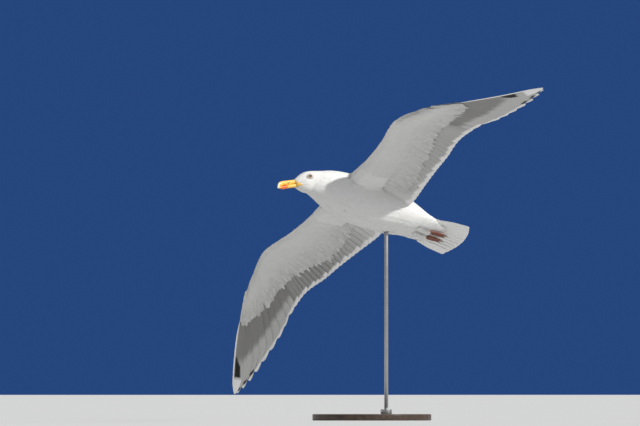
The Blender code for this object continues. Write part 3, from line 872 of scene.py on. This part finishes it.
def primary_colour(feather, run, side, depth, under):
    """Grey primaries, paler towards the tip below, with black marks and white tips outermost. The
    grey below is partly the feathers' own grey and partly painted shade, and the white tips are
    painted brighter than the body's white as painted light. side and depth run from the narrow
    front edge, below 0, to the wide rear edge, above 0."""
    rank = feather + 1
    tone = painted(MANTLE_GREY, UNDER_PRIMARY_GREY_AND_SHADE, under)
    inner = ease(-0.1, 0.3, side)
    start = np.interp(rank, (1, 4, 7, 10), (0.84, 0.72, 0.68, 0.66))
    tongue = past(start, 0.07, run + 0.05 * inner) * (0.45 + 0.55 * inner)
    tone = painted(tone, UNDER_TONGUE, tongue * under)
    first = np.interp(rank, (1, 4, 5, 6, 7, 8, 9, 10), (2, 2, 0.90, 0.84, 0.77, 0.69, 0.60, 0.50))
    last = np.interp(rank, (1, 4, 5, 6, 7, 8, 9, 10), (2, 2, 0.93, 0.93, 0.94, 0.95, 0.86, 0.80))
    first = first + 0.10 * np.clip(side, 0, 1)
    above = past(first, 0.01, run) * (1 - past(last, 0.008, run))
    wedge = np.interp(run, (0.53, 0.60, 0.67, 0.81), (0.0, 0.006, 0.0135, 0.0145))
    dark = ease(-0.0016, -0.0006, depth) * (1 - ease(wedge - 0.0008, wedge + 0.0012, depth))
    dark = dark * (rank == 10) * ease(patch[0], patch[0] + 0.03, run)
    dark = dark * (1 - past(patch[1], 0.006, run))
    mark_at = np.interp(rank, (7, 8, 9), (0.935, 0.948, 0.962))
    mark = ((rank >= 7) * (rank <= 9) * (1 - ease(0.013, 0.019, np.abs(run - mark_at)))
            * ease(-0.2, 0.1, side) * (1 - ease(0.75, 0.95, side)))
    black = np.clip(above * (1 - under) + (dark + mark) * under, 0, 1)
    white = np.maximum(ease(0.955, 0.975, run), (rank == 10) * ease(0.80, 0.83, run))
    white = np.maximum(white, (rank == 9) * ease(0.86, 0.875, run) * (1 - under))
    strip = (rank == 10) * (1 - ease(-0.0016, -0.0006, depth)) * ease(0.1, 0.2, run)
    white = np.maximum(white, strip * under)
    white = np.maximum(white, 0.9 * (rank <= 6) * ease(0.93, 0.955, run))
    tone = painted(painted(tone, EDGE_WHITE_PAINTED_LIGHT, white), TIP_BLACK, black)
    return painted(tone, WHITE, (rank >= 5) * (rank <= 9) * ease(0.972, 0.980, run))


def secondary_colour(feather, run, side, depth, under):
    """Grey secondaries with white ends, below paler at the root of the wing. The grey below is
    partly the feathers' own grey and partly painted shade; on the right wing it is darkened further
    outwards as painted shade, and the white ends are painted brighter than the body's white as
    painted light."""
    deep = 1 - (1 - painted_shade_level) * ease(2, 19, feather)[..., None]
    tone = painted(MANTLE_GREY, UNDER_SECONDARY_GREY_AND_SHADE * deep, under)
    start = np.interp(feather, (0, 5, 12, 23), (0.905, 0.925, 0.935, 0.945))
    start = start + 0.022 * np.sin(feather * 2.4) * under
    white = past(start, 0.022, run + 0.03 * side)
    inner = np.interp(feather, (0, 3, 5, 12, 20), (0.95, 0.62, 0.24, 0.0, 0.0)) * under
    pale = 1 - (1 - inner) * (1 - 0.20 * ease(0.0, 0.8, side) * under)
    return painted(painted(tone, WHITE, pale), EDGE_WHITE_PAINTED_LIGHT, white)


primary_rank = np.arange(PRIMARIES)
primary_place = WRIST + (primary_rank + 0.5) / PRIMARIES * (1 - WRIST)
primary_root = WRIST + 0.04 + (primary_place - WRIST) * 0.9
secondary_rank = np.arange(SECONDARIES)
fine = np.linspace(0.0, REAR_END, 200)
hem = length_along(wing_point(fine, 1.0))
secondary_place = np.interp((secondary_rank + 0.4) / SECONDARIES * hem[-1], hem, fine)

long_run = run_of(60, 1.35)
taper = np.interp(primary_rank, (0, 4, 6, 9), (0.07, 0.11, 0.21, 0.23))[:, None]
point_in = np.clip((1 - long_run) / taper, 0.0006, 1) ** 0.60
point_out = np.clip((1 - long_run) / (taper * 0.55), 0.0006, 1) ** 0.55
swell = 0.12 + 0.88 * ease(0, 0.36, long_run)
primary_out = np.interp(primary_rank, (0, 5, 7, 9), (0.016, 0.013, 0.009, 0.0050))[:, None]
primary_in = np.interp(primary_rank, (0, 5, 7, 9), (0.030, 0.030, 0.025, 0.0205))[:, None]
short_run = run_of(32, 1.3)
secondary_wide = (0.6 + 0.4 * ease(0, 0.2, short_run)) * blunt(short_run, 0.91, 2.6)
secondary_wide = np.tile(secondary_wide, (SECONDARIES, 1))
vane_finish = plumage("flight_vane", 150.0, 0.42, 0.00010)
for side in ("left", "right"):
    # Painted shade: the right wing's secondaries are darkened outwards below, down to 0.57 of the
    # left wing's grey.
    luck, painted_shade_level, patch = (11, 1.0, (0.58, 0.735)) if side == "left" else (12, 0.57, (0.54, 0.792))
    primaries = long_vanes(
        wing_vanes(0.14, primary_place, primary_root, long_run), long_run,
        primary_out * swell * point_out, primary_in * swell * point_in,
        tuple(np.arange(1, 11) / 10), 0.065, primary_colour, luck,
    )
    secondaries = long_vanes(
        wing_vanes(0.34, secondary_place, secondary_place, short_run), short_run,
        SECONDARY_OUT * secondary_wide, SECONDARY_IN * secondary_wide, SHORT_STEPS, 0.05,
        secondary_colour, luck + 10,
    )
    for label, made in (("primaries", primaries), ("secondaries", secondaries)):
        piece = feather_mesh(side + "_" + label, *mirror_wing(made[0], made[1], side), *made[2:])
        put_on(piece, vane_finish, "flight_feathers", "wing_" + side + "_" + label)


# Tail: twelve broad white feathers in a half-open fan, each a closed vane on its own quill, the
# middle pair uppermost and the others sliding under them to each side.
TAIL_ROOT_AT, TAIL_END_AT = -0.285, -0.400
TAIL_ROOT_HALF, TAIL_END_HALF = 0.0435, 0.0555
TAIL_ROOT_LEVEL, TAIL_END_LEVEL = -0.0255, -0.0285
TAIL_OUT, TAIL_IN = 0.0085, 0.0120


def tail_colour(feather, run, side, depth, under):
    # Painted light: the tail's white is raised 14% above the body's white, standing in for light
    # shining through the vanes.
    shade = 1 - 0.05 * ease(0.2, 0.9, np.abs(side))
    return WHITE * shade[..., None] * np.array((1.14, 1.14, 1.13))


fan = (np.arange(6) + 0.45) / 6
tail_run = run_of(34, 1.3)
reach = np.tile(tail_run, (6, 1))
end_x = (TAIL_END_AT + 0.024 * fan**2)[:, None]
spread = TAIL_ROOT_HALF + (TAIL_END_HALF - TAIL_ROOT_HALF) * reach**0.7
tail_at = np.stack([
    TAIL_ROOT_AT + (end_x - TAIL_ROOT_AT) * reach,
    fan[:, None] * spread,
    TAIL_ROOT_LEVEL + (TAIL_END_LEVEL - TAIL_ROOT_LEVEL) * reach - 0.004 * fan[:, None] ** 2,
], -1)
lie = unit(np.gradient(tail_at, axis=1))
tail_up = np.broadcast_to(unit(np.array((-0.05, 0.0, 1.0))), tail_at.shape)
tail_out = unit(np.cross(lie, tail_up))
tail_out = tail_out * np.sign(tail_out[..., 1:2])
tail_wide = (0.6 + 0.4 * ease(0, 0.5, reach)) * blunt(tail_run, 0.93, 2.2)
halves = []
for half, (side, luck) in enumerate((("left", 31), ("right", 32))):
    made = long_vanes((tail_at, tail_out, tail_up), tail_run, TAIL_OUT * tail_wide,
                      TAIL_IN * tail_wide, SHORT_STEPS, 0.055, tail_colour, luck)
    points, faces = mirror_wing(made[0], made[1], side)
    halves.append((points, faces + half * len(points), *made[2:5],
                   made[5] * (0.5, 1.0) + (0.5 * half, 0.0)))
tail = feather_mesh("tail_feathers", *map(np.concatenate, zip(*halves)))
put_on(tail, plumage("tail_vane", 150.0, 0.50, 0.00010), "flight_feathers", "tail")


# Wing coverts: rows of small feathers from the front edge back over the quills, each row lying over
# the roots of the next, the last and longest ones over the feet of the flight feathers.
FEATHER_RUN = np.array((0.0, 0.25, 0.5, 0.75, 0.92, 1.0))
FEATHER_WIDTH = np.array((0.40, 0.85, 1.0, 0.96, 0.72, 0.20))
FEATHER_BODY = np.array((0.8, 1.0, 0.9, 0.7, 0.45, 0.25))
FEATHER_THICK, PATCH = 0.00014, 0.0028
PROBE, PROBE_STOP = 0.09, 0.0895
UNDER_LIMIT = {
    # place along the wing, share of the wing's depth that the coverts below reach
    "left": np.array((
        (0.00, 0.86), (0.09, 0.88), (0.22, 0.885), (0.31, 0.86), (0.37, 0.83), (0.44, 0.81),
        (0.50, 0.76), (0.56, 0.71), (0.60, 0.66), (0.65, 0.61), (0.715, 0.56), (0.785, 0.49),
        (0.85, 0.42), (0.945, 0.335), (1.00, 0.30),
    )),
    "right": np.array((
        (0.00, 0.66), (0.13, 0.70), (0.20, 0.76), (0.295, 0.84), (0.36, 0.86), (0.425, 0.81),
        (0.48, 0.775), (0.53, 0.745), (0.57, 0.69), (0.60, 0.645), (0.64, 0.61), (0.70, 0.575),
        (0.785, 0.47), (0.85, 0.41), (0.945, 0.32), (1.00, 0.30),
    )),
}
OVER_LIMIT = np.array((
    (0.00, 0.62), (0.20, 0.60), (0.48, 0.58), (0.57, 0.56), (0.62, 0.52), (0.75, 0.42),
    (0.88, 0.35), (1.00, 0.30),
))


# The skin, in the bird's frame, for laying feathers on.
hide_points, hide_faces = mesh_arrays(skin.data)
hide_points = to_bird(hide_points)
hide = BVHTree.FromPolygons(hide_points.tolist(), hide_faces.tolist())
hide_normal = unit((read(skin.data.vertices, "normal", 3) @ TURN)[hide_faces].mean(1))
corners = read(skin.data.loop_triangles, "loops", 3, np.int32)
hide_uv = read(skin.data.uv_layers["OFBake"].data, "uv", 2)[corners].mean(1)
hide_depth = read(skin.data.attributes["coat_depth"].data, "value", 1, np.float32)[:, 0]
hide_depth = hide_depth[hide_faces].mean(1)


def settle(points):
    """The nearest places on the skin, with the skin's normal and face there."""
    found = [hide.find_nearest(p) for p in points.reshape(-1, 3).tolist()]
    spots = np.array([f[0] for f in found]).reshape(points.shape)
    face = np.array([f[2] for f in found]).reshape(points.shape[:-1])
    return spots, hide_normal[face], face


def small_feathers(name, spine, up, half, thick, droop, colour, root_uv, side="left"):
    """A coat of small closed feathers. spine and up hold each one's middle line from root to tip,
    half its half width, thick its thickness at the quill and droop how far its edges sink. colour
    is one for each feather, or for each of its points."""
    number, rows = spine.shape[:2]
    lie = unit(np.gradient(spine, axis=1))
    over = unit(np.cross(lie, up))
    wide = (half[:, None] * FEATHER_WIDTH)[..., None]
    sink = up * (droop[:, None] * FEATHER_WIDTH**2)[..., None]
    body = up * (thick[:, None] * FEATHER_BODY)[..., None]
    ring = np.stack([spine - over * wide - sink, spine + body, spine + over * wide - sink,
                     spine - body * 0.6], 2)
    index = np.arange(number * rows * 4).reshape(number, rows, 4)
    a, b = index[:, :-1], index[:, 1:]
    sides = [quads(a[..., i], a[..., i - 3], b[..., i - 3], b[..., i]) for i in range(4)]
    faces = np.concatenate(sides + [index[:, 0, (0, 3, 2, 1)], index[:, -1]])
    shape = (number, rows, 4)
    along = np.broadcast_to(FEATHER_RUN[None, :, None], shape)
    across = np.broadcast_to(np.array((-1.0, 0.0, 1.0, 0.0)), shape)
    patch = np.stack([across * PATCH / 2, (along - 0.5) * PATCH], -1)
    uv = (root_uv[:, None, None, :] + patch).reshape(-1, 2)
    colour = np.broadcast_to(colour, shape + (3,))
    return feather_mesh(name, *mirror_wing(ring.reshape(-1, 3), faces, side), along.ravel(),
                        across.ravel(), colour.reshape(-1, 3), uv)


def wing_relief(face_up, flip):
    """How far the skin stands out from the wing's middle surface, on a grid of places."""
    places, across = np.linspace(0, 1, 140), np.linspace(0, 1, 110)
    grid_place, grid_across = np.meshgrid(places, across, indexing="ij")
    at, _, _, up = wing_frame(grid_place, grid_across)
    sign = np.array((1, flip, 1))
    at, up = at * sign, up * sign * face_up
    high = np.zeros(grid_place.shape)
    for i, (start, way) in enumerate(zip((at + up * PROBE).reshape(-1, 3).tolist(),
                                         (-up).reshape(-1, 3).tolist())):
        hit = hide.ray_cast(start, way, PROBE_STOP)
        if hit[0] is not None:
            high.flat[i] = PROBE - hit[3]
    flat = np.interp(grid_place, (0, 0.5, 0.60, 0.75, 1), (0.0016, 0.0016, 0.0034, 0.0030, 0.0018))
    if face_up > 0:
        flat = flat * 0.7
    high = np.maximum(high, flat * ease(0.0, 0.05, grid_across))
    for _ in range(3):
        high[:, 1:-1] = (high[:, :-2] + 2 * high[:, 1:-1] + high[:, 2:]) / 4
        high[1:-1] = (high[:-2] + 2 * high[1:-1] + high[2:]) / 4
    return high


def on_grid(grid, place, across):
    """Reads a grid of places by shares of 0 to 1."""
    x = np.clip(place, 0, 1) * (grid.shape[0] - 1)
    y = np.clip(across, 0, 1) * (grid.shape[1] - 1)
    i = np.minimum(x.astype(int), grid.shape[0] - 2)
    j = np.minimum(y.astype(int), grid.shape[1] - 2)
    x, y = x - i, y - j
    return ((grid[i, j] * (1 - x) + grid[i + 1, j] * x) * (1 - y)
            + (grid[i, j + 1] * (1 - x) + grid[i + 1, j + 1] * x) * y)


COVERT_ROWS = (
    # tip and length as shares of the covered depth, with spacing and half width in metres:
    # tip, spacing, length, half width
    (0.020, 0.0026, 0.045, 0.0022), (0.050, 0.0026, 0.060, 0.0023), (0.080, 0.0027, 0.080, 0.0024),
    (0.112, 0.0028, 0.100, 0.0025), (0.145, 0.0029, 0.115, 0.0026), (0.180, 0.0030, 0.130, 0.0027),
    (0.216, 0.0031, 0.140, 0.0028), (0.254, 0.0032, 0.150, 0.0029), (0.294, 0.0033, 0.160, 0.0030),
    (0.336, 0.0034, 0.175, 0.0031), (0.380, 0.0035, 0.190, 0.0032), (0.426, 0.0036, 0.205, 0.0033),
    (0.474, 0.0037, 0.220, 0.0034), (0.524, 0.0038, 0.240, 0.0035), (0.576, 0.0039, 0.260, 0.0036),
    (0.630, 0.0040, 0.285, 0.0037), (0.690, 0.0042, 0.310, 0.0039), (0.755, 0.0044, 0.340, 0.0041),
    (0.825, 0.0046, 0.370, 0.0043), (0.900, 0.0048, 0.400, 0.0045), (0.980, 0.0050, 0.420, 0.0047),
)


def covert_coat(side, face_up, seed):
    """One face of one wing: its rows of coverts as one piece."""
    name, limits = side + "_under_coverts", UNDER_LIMIT[side]
    if face_up > 0:
        name, limits = side + "_upper_coverts", OVER_LIMIT
    draw = np.random.default_rng(seed)
    flip = 1 if side == "left" else -1
    relief = wing_relief(face_up, flip)
    place, tip, length, half, rank = [], [], [], [], []
    for number, (reach, gap, long, wide) in enumerate(COVERT_ROWS):
        fine = np.linspace(0.02, 0.995, 300)
        line = wing_point(fine, reach * np.interp(fine, limits[:, 0], limits[:, 1]))
        run = length_along(line)
        count = int(run[-1] / gap)
        spots = (np.arange(count) + (0.5 if number % 2 else 0.0)
                 + draw.uniform(-0.22, 0.22, count)) / count * run[-1]
        here = np.interp(spots, run, fine)
        place.append(here)
        limit = np.interp(here, limits[:, 0], limits[:, 1])
        ragged = 0.010 + 0.016 * ease(14, 20, number)
        tip.append((reach + draw.normal(0, ragged, count)) * limit)
        length.append(long * limit * draw.uniform(0.88, 1.12, count))
        half.append(wide * draw.uniform(0.9, 1.1, count) * (1 - 0.25 * ease(0.6, 1.0, here)))
        rank.append(np.full(count, number))
    place, tip, length, half, rank = map(np.concatenate, (place, tip, length, half, rank))
    stations = FEATHER_RUN[None, :]
    across = np.maximum(tip[:, None] - length[:, None] * (1 - stations), 0.0)
    sweep = draw.normal(0, 0.0015, len(place))[:, None] * stations
    at, _, _, up = wing_frame(np.clip(place[:, None] + sweep, 0, 1), across)
    up = up * face_up
    high = on_grid(relief, place[:, None] + 0 * across, across)
    lift = np.interp(rank, (0, 10, 20), (0.0004, 0.0005, 0.0006))[:, None]
    spine = at + up * (high + 0.0001 + lift * stations)[..., None]
    slope = unit(np.gradient(spine, axis=1))
    face = up - slope * (up * slope).sum(-1, keepdims=True)
    keep = high.max(1) < np.interp(place, (0.0, 0.08, 0.10, 0.2), (0.0, 0.0, 0.026, 0.026))
    spine, face, half, rank = spine[keep], unit(face[keep]), half[keep], rank[keep]
    count = len(rank)
    if face_up > 0:
        colour = painted(MANTLE_GREY, WHITE, 1 - ease(1.5, 5.0, rank))
    else:
        colour = WHITE * np.ones((count, 1)) * np.array((0.985, 0.985, 0.975))
    tint = (colour * draw.normal(1.0, 0.018, (count, 1)))[:, None, None]
    # The under coverts grey towards the flight feathers in the secondaries' grey below, which is
    # partly painted shade.
    if face_up < 0:
        deep = np.interp(rank, (5, 12, 16, 20), (0.0, 0.14, 0.42, 0.80))
        deep = np.clip(deep * draw.uniform(0.35, 1.5, count), 0, 0.95)
        web = np.array((1.0, 0.75, 0.5, 0.75))[None, None, :]
        run = np.array((0.6, 0.6, 0.65, 0.8, 0.95, 1.0))[None, :, None]
        tint = painted(tint * 0.94, UNDER_SECONDARY_GREY_AND_SHADE * 1.06, deep[:, None, None] * web * run)
    index = settle(spine[:, 0] * np.array((1, flip, 1)))[2]
    return small_feathers(name, spine, face, half, np.full(count, FEATHER_THICK), half * 0.045,
                          tint, hide_uv[index], side)


covert_finish = plumage("covert_vane", 26.0, 0.60, 0.00010)
for luck, (face_up, side) in enumerate(itertools.product((-1, 1), ("left", "right")), 41):
    put_on(covert_coat(side, face_up, luck), covert_finish, "plumage")


# Body feathers: soft contour feathers laid from the face back to the tail, each rooted in the skin
# and lying over the roots of the next, smallest round the bill and eyes and longest by the tail.
BILL_ROOT = bill_base + HEAD_AHEAD * 0.004
EYE_OPENING, TAIL_EDGE = 0.0052, -0.286
COAT_HEIGHT = np.array((0.0, 0.45, 0.75, 0.90, 0.97, 1.0))
NEIGHBOURS = list(itertools.product((-1, 0, 1), repeat=3))


def eye_distance(points):
    return np.minimum(*(np.linalg.norm(points - spot, axis=-1) for spot in EYE_SPOTS))


def coat_sizes(points):
    """Spacing, length and half width of the feathers at places on the body."""
    x = points[..., 0]
    places = (-0.310, -0.270, -0.220, -0.120, 0.000, 0.040, 0.072, 0.102, 0.130)
    spacing = np.interp(x, places, (0.0042, 0.0040, 0.0039, 0.0037, 0.0032, 0.0024, 0.0017,
                                    0.00135, 0.0012))
    length = np.interp(x, places, (0.036, 0.032, 0.025, 0.020, 0.016, 0.0115, 0.0080, 0.0060,
                                   0.0040))
    half = np.interp(x, places, (0.0050, 0.0047, 0.0044, 0.0040, 0.0031, 0.0021, 0.00145,
                                 0.00105, 0.00085))
    near = ease(EYE_OPENING, EYE_OPENING + 0.007, eye_distance(points))
    return spacing * (0.75 + 0.25 * near), length * (0.30 + 0.70 * near), half * (0.7 + 0.3 * near)


def coat_lie(points, normals):
    """Which way the feathers point: away from the bill, then to the tail, and out on a wing."""
    away = unit(points - BILL_ROOT)
    face = ease(0.060, 0.100, points[..., 0])[..., None]
    out = ease(0.050, 0.095, np.abs(points[..., 1]))[..., None]
    back = np.array((-1.0, 0.0, 0.0)) + out * np.sign(points[..., 1:2]) * np.array((0, 0.35, 0))
    way = away * face + back * (1 - face)
    way = way - normals * (way * normals).sum(-1, keepdims=True)
    return unit(way)


def scatter(wanted, seed):
    """Roots spread evenly over the wanted part of the skin, none nearer than the coat's spacing."""
    draw = np.random.default_rng(seed)
    corners = hide_points[hide_faces]
    middle = corners.mean(1)
    inside = wanted(middle, hide_normal) & (middle[:, 0] > -0.290) & (hide_normal[:, 0] > -0.75)
    corners = corners[inside]
    area = np.linalg.norm(np.cross(corners[:, 1] - corners[:, 0], corners[:, 2] - corners[:, 0]),
                          axis=1) / 2
    gap = coat_sizes(middle[inside])[0]
    share = area / gap**2
    count = int(share.sum() * 4.5)
    chosen = draw.choice(len(corners), count, p=share / share.sum())
    a, b = draw.random((2, count, 1))
    flip = a + b > 1
    a, b = np.where(flip, 1 - a, a), np.where(flip, 1 - b, b)
    spots = corners[chosen, 0] * (1 - a - b) + corners[chosen, 1] * a + corners[chosen, 2] * b
    gaps = coat_sizes(spots)[0] * 0.86
    cell = gaps.max()
    taken, kept = {}, []
    keys = np.floor(spots / cell).astype(int).tolist()
    for i, (spot, key, gap) in enumerate(zip(spots.tolist(), keys, gaps.tolist())):
        near = (other for step in NEIGHBOURS
                for other in taken.get((key[0] + step[0], key[1] + step[1], key[2] + step[2]), ()))
        if all(math.dist(other, spot) >= gap for other in near):
            taken.setdefault(tuple(key), []).append(spot)
            kept.append(i)
    return spots[kept]


def raised(spine, ups, roots, spread, draw):
    """Lifts the feathers off the skin, tips more than roots, by the coat's depth at their roots."""
    height = hide_depth[roots][:, None] * COAT_HEIGHT
    height = height * draw.uniform(1 - spread, 1 + spread, (len(roots), 1))
    return spine + ups * height[..., None]


def body_coat(name, wanted, seed):
    """The contour feathers over one part of the body, as one piece."""
    draw = np.random.default_rng(seed + 500)
    roots = scatter(wanted, seed)
    count = len(roots)
    _, length, half = coat_sizes(roots)
    length = length * draw.uniform(0.88, 1.12, count)
    length = length * np.clip((eye_distance(roots) - EYE_OPENING) / 0.0045, 0.30, 1)
    length = np.where((roots[:, 0] < -0.262) & (np.abs(roots[:, 1]) > 0.028), 0.5, 1.0) * length
    half = half * draw.uniform(0.9, 1.1, count)
    spots, normal, root_face = settle(roots)
    spine, ups = [spots], [normal]
    turn = draw.normal(0, 0.09, count)
    for step in np.diff(FEATHER_RUN):
        way = coat_lie(spine[-1], ups[-1])
        way = way * np.cos(turn)[:, None] + np.cross(ups[-1], way) * np.sin(turn)[:, None]
        past = ease(-0.280, -0.290, spine[-1][:, 0:1])
        level = np.where(ups[-1][:, 2:3] > 0, (-1.0, 0.0, -0.22), (-1.0, 0.0, 0.04))
        way = unit(way * (1 - past) + level * past)
        ahead = spine[-1] + way * (length * step)[:, None]
        on_hide, normal, _ = settle(ahead)
        past = (ahead[:, 0] < TAIL_EDGE)[:, None]
        spine.append(np.where(past, ahead, on_hide))
        ups.append(np.where(past, ups[-1], unit(ups[-1] * 0.4 + normal * 0.6)))
    spine, ups = np.stack(spine, 1), np.stack(ups, 1)
    clear = eye_distance(spine).min(1) > EYE_OPENING
    spine, ups, half, root_face = spine[clear], ups[clear], half[clear], root_face[clear]
    count = len(half)
    spine = raised(spine, ups, root_face, 0.03, draw)
    colour = plumage_colour(spine[:, 3], ups[:, 3]) * draw.normal(1.0, 0.014, (count, 1))
    return small_feathers(name, spine, ups, half, np.minimum(half * 0.05, FEATHER_THICK),
                          np.minimum(half * 0.05, half**2 / 0.09), colour[:, None, None],
                          hide_uv[root_face])


def below_wing(at, normal):
    level = np.interp(at[:, 0], (-0.20, -0.10, 0.01, 0.03), (-0.020, 0.004, 0.002, 0.004))
    outer = np.abs(at[:, 1]) > 0.045
    return np.where(outer, normal[:, 2] < 0.0, at[:, 2] < level)


def on_body(at):
    edge = np.interp(at[:, 0], (-0.30, -0.14, -0.10, 0.0, 0.03), (0.08, 0.080, 0.095, 0.095, 0.080))
    return np.abs(at[:, 1]) < edge


down = plumage("contour_vane", 14.0, 0.72, 0.00010)
for luck, (label, wanted) in enumerate((
    ("head_feathers", lambda at, normal: at[:, 0] > 0.045),
    ("neck_feathers", lambda at, normal: (at[:, 0] <= 0.045) & (at[:, 0] > 0.008) & on_body(at)),
    ("breast_feathers", lambda at, normal: (at[:, 0] <= 0.008) & (at[:, 0] > -0.115)
     & on_body(at) & below_wing(at, normal)),
    ("belly_feathers", lambda at, normal: (at[:, 0] <= -0.115) & on_body(at)
     & below_wing(at, normal)),
    ("mantle_feathers", lambda at, normal: (at[:, 0] <= 0.008) & on_body(at)
     & ~below_wing(at, normal)),
)):
    put_on(body_coat(label, wanted, 61 + luck), down, "plumage")


# Thigh feathers: short white feathers that clothe the top of each leg. They root in the belly's
# skin and lie back over the shank, so that it comes out from under them with no bare gap.
THIGH_LONG, THIGH_SIDE = 0.0095, 0.0095
for side, seed in (("left", 81), ("right", 82)):
    draw = np.random.default_rng(seed)
    leg = spots_of(bpy.data.objects[side + "_leg_and_foot"])
    front, long = leg[:, 0].max(), np.ptp(leg[:, 0])
    cuts = front - long * np.linspace(0.02, 0.60, 20)
    near = np.abs(leg[None, :, 0] - cuts[:, None]) < long * 0.03
    mid = np.array([leg[row, 1].mean() for row in near])
    low = np.array([leg[row, 2].min() for row in near])

    def over_leg(at):
        spots, normal, index = settle(at)
        place = -at[:, 0]
        aside = np.abs(at[:, 1] - np.interp(place, -cuts, mid))
        rise = np.clip(spots[:, 2] - np.interp(place, -cuts, low), 0, 0.02) + 0.0006
        rise = rise * (1 - ease(0.0035, 0.0085, aside))
        rise = rise * ease(-front - 0.014, -front - 0.002, place)
        return spots - np.array((0, 0, 1.0)) * rise[:, None], normal, index

    ahead, aside = np.meshgrid(np.linspace(-0.04, 0.29, 18),
                               np.linspace(-THIGH_SIDE, THIGH_SIDE, 11))
    ahead = ahead.ravel() + draw.uniform(-0.012, 0.012, ahead.size)
    at = np.stack([front - long * ahead, aside.ravel(), np.zeros(ahead.size)], -1)
    at[:, 1] += np.interp(-at[:, 0], -cuts, mid) + draw.uniform(-0.0008, 0.0008, len(at))
    at[:, 2] = np.interp(-at[:, 0], -cuts, low)
    spine, ups, index = [], [], None
    for run in FEATHER_RUN:
        spot, normal, face = over_leg(at - np.array((THIGH_LONG * run, 0, 0)))
        index = face if index is None else index
        spine.append(spot)
        ups.append(normal)
    spine, ups = np.stack(spine, 1), np.stack(ups, 1)
    spine = raised(spine, ups, index, 0.1, draw)
    half = draw.uniform(0.0019, 0.0024, len(at))
    colour = WHITE * draw.normal(1.0, 0.014, (len(at), 1))[:, None, None]
    thigh = small_feathers(side + "_thigh_feathers", spine, ups, half, half * 0.05, half * 0.05,
                           colour, hide_uv[index])
    put_on(thigh, down, "plumage")


# Gape: soft yellow skin on each cheek, from the bill's side back to the corner of the mouth, drawn
# to a point. It is a thin closed strip lying on the skin, level with the feathers round it.
GAPE_LONG, GAPE_DEEP = 0.0175, 0.0082
run, rise = np.meshgrid(np.linspace(0, 1, 26), np.linspace(-1, 1, 9), indexing="ij")
for side, sign in (("left", 1), ("right", -1)):
    local = np.stack([0.0015 - GAPE_LONG * run, sign * (0.0075 + 0.009 * run),
                      -0.0038 * run + rise * (GAPE_DEEP * (1 - run) ** 1.15 + 0.0003)], -1)
    spots, normal, index = settle(bill_base + local @ HEAD_TURN.T)
    proud = (hide_depth[index] + 0.0007 - 0.0006 * rise**4)[..., None]
    sheet = np.stack([spots + normal * proud, spots + normal * (proud - 0.0009)])
    order = np.arange(run.size * 2).reshape(2, 1, *run.shape)
    gape = fill_mesh(side + "_gape", to_room(sheet.reshape(-1, 3)), closed_sheets(*order), {})
    horn_values(gape, np.tile(0.16 - 0.14 * run.ravel(), 2), 0.5, 1.0, 0.0)
    on_all(gape, bpy.ops.mesh.normals_make_consistent, inside=False)
    put_on(gape, horn, "bill")


# Studio: a wide pale floor, a soft sky all round and one key light like a low sun, from above and
# the camera's right. The camera stands far off, almost level with the bird, looking slightly up.
FLOOR_WIDE = 900.0
VIEW_AZIMUTH, VIEW_RISE = math.radians(54.0), math.radians(-0.65)
VIEW_TARGET = Vector((-0.0296, -0.1403, 0.523))
VIEW_DISTANCE, LENS_LENGTH = 40.0, 892.7
KEY_FROM = Vector((0.720, 0.306, 0.623))
KEY_POWER, KEY_SPREAD, SKY_POWER = 3.5, math.radians(1.6), 0.43


def studio_floor():
    finish = Finish("studio_floor", Specular_IOR_Level=0.1)
    mottle = finish.grain(0.8, 3.0)
    speck = finish.grain(60.0, 2.0)
    colour = finish.blend(mottle * 0.5 + speck * 0.3, (0.56, 0.57, 0.58),
                          (0.66, 0.66, 0.66))
    return finish.set(Base_Color=colour, Roughness=0.82 + speck * 0.1)


bpy.ops.mesh.primitive_plane_add(size=FLOOR_WIDE, location=(0, 0, 0))
floor = bpy.context.object
floor.name = "studio_floor"
floor.data.materials.append(studio_floor().material)

key = bpy.data.lights.new("key_light", "SUN")
key.energy, key.angle, key.color = KEY_POWER, KEY_SPREAD, (1.0, 0.985, 0.955)
key_object = bpy.data.objects.new("key_light", key)
key_object.rotation_euler = KEY_FROM.to_track_quat("Z", "Y").to_euler()
bpy.context.scene.collection.objects.link(key_object)

world = bpy.data.worlds.new("studio_sky")
world.use_nodes = True
tree = world.node_tree
light_sky = tree.nodes["Background"]
light_sky.inputs["Color"].default_value = (0.96, 0.98, 1.0, 1.0)
light_sky.inputs["Strength"].default_value = SKY_POWER
seen_sky = tree.nodes.new("ShaderNodeBackground")
seen_sky.inputs["Color"].default_value = (0.019, 0.062, 0.205, 1.0)
ray = tree.nodes.new("ShaderNodeLightPath")
choose = tree.nodes.new("ShaderNodeMixShader")
tree.links.new(ray.outputs["Is Camera Ray"], choose.inputs[0])
tree.links.new(light_sky.outputs[0], choose.inputs[1])
tree.links.new(seen_sky.outputs[0], choose.inputs[2])
tree.links.new(choose.outputs[0], tree.nodes["World Output"].inputs["Surface"])
bpy.context.scene.world = world
bpy.context.scene.view_settings.view_transform = "Standard"

eye_line = Vector((math.sin(VIEW_AZIMUTH) * math.cos(VIEW_RISE),
                   -math.cos(VIEW_AZIMUTH) * math.cos(VIEW_RISE), math.sin(VIEW_RISE)))
lens = bpy.data.cameras.new("camera")
lens.sensor_width, lens.lens = 36.0, LENS_LENGTH
lens.clip_start, lens.clip_end = 1.0, 900.0
camera = bpy.data.objects.new("camera", lens)
camera.location = VIEW_TARGET + eye_line * VIEW_DISTANCE
camera.rotation_euler = eye_line.to_track_quat("Z", "Y").to_euler()
bpy.context.scene.collection.objects.link(camera)
bpy.context.scene.camera = camera

bpy.context.view_layer.update()
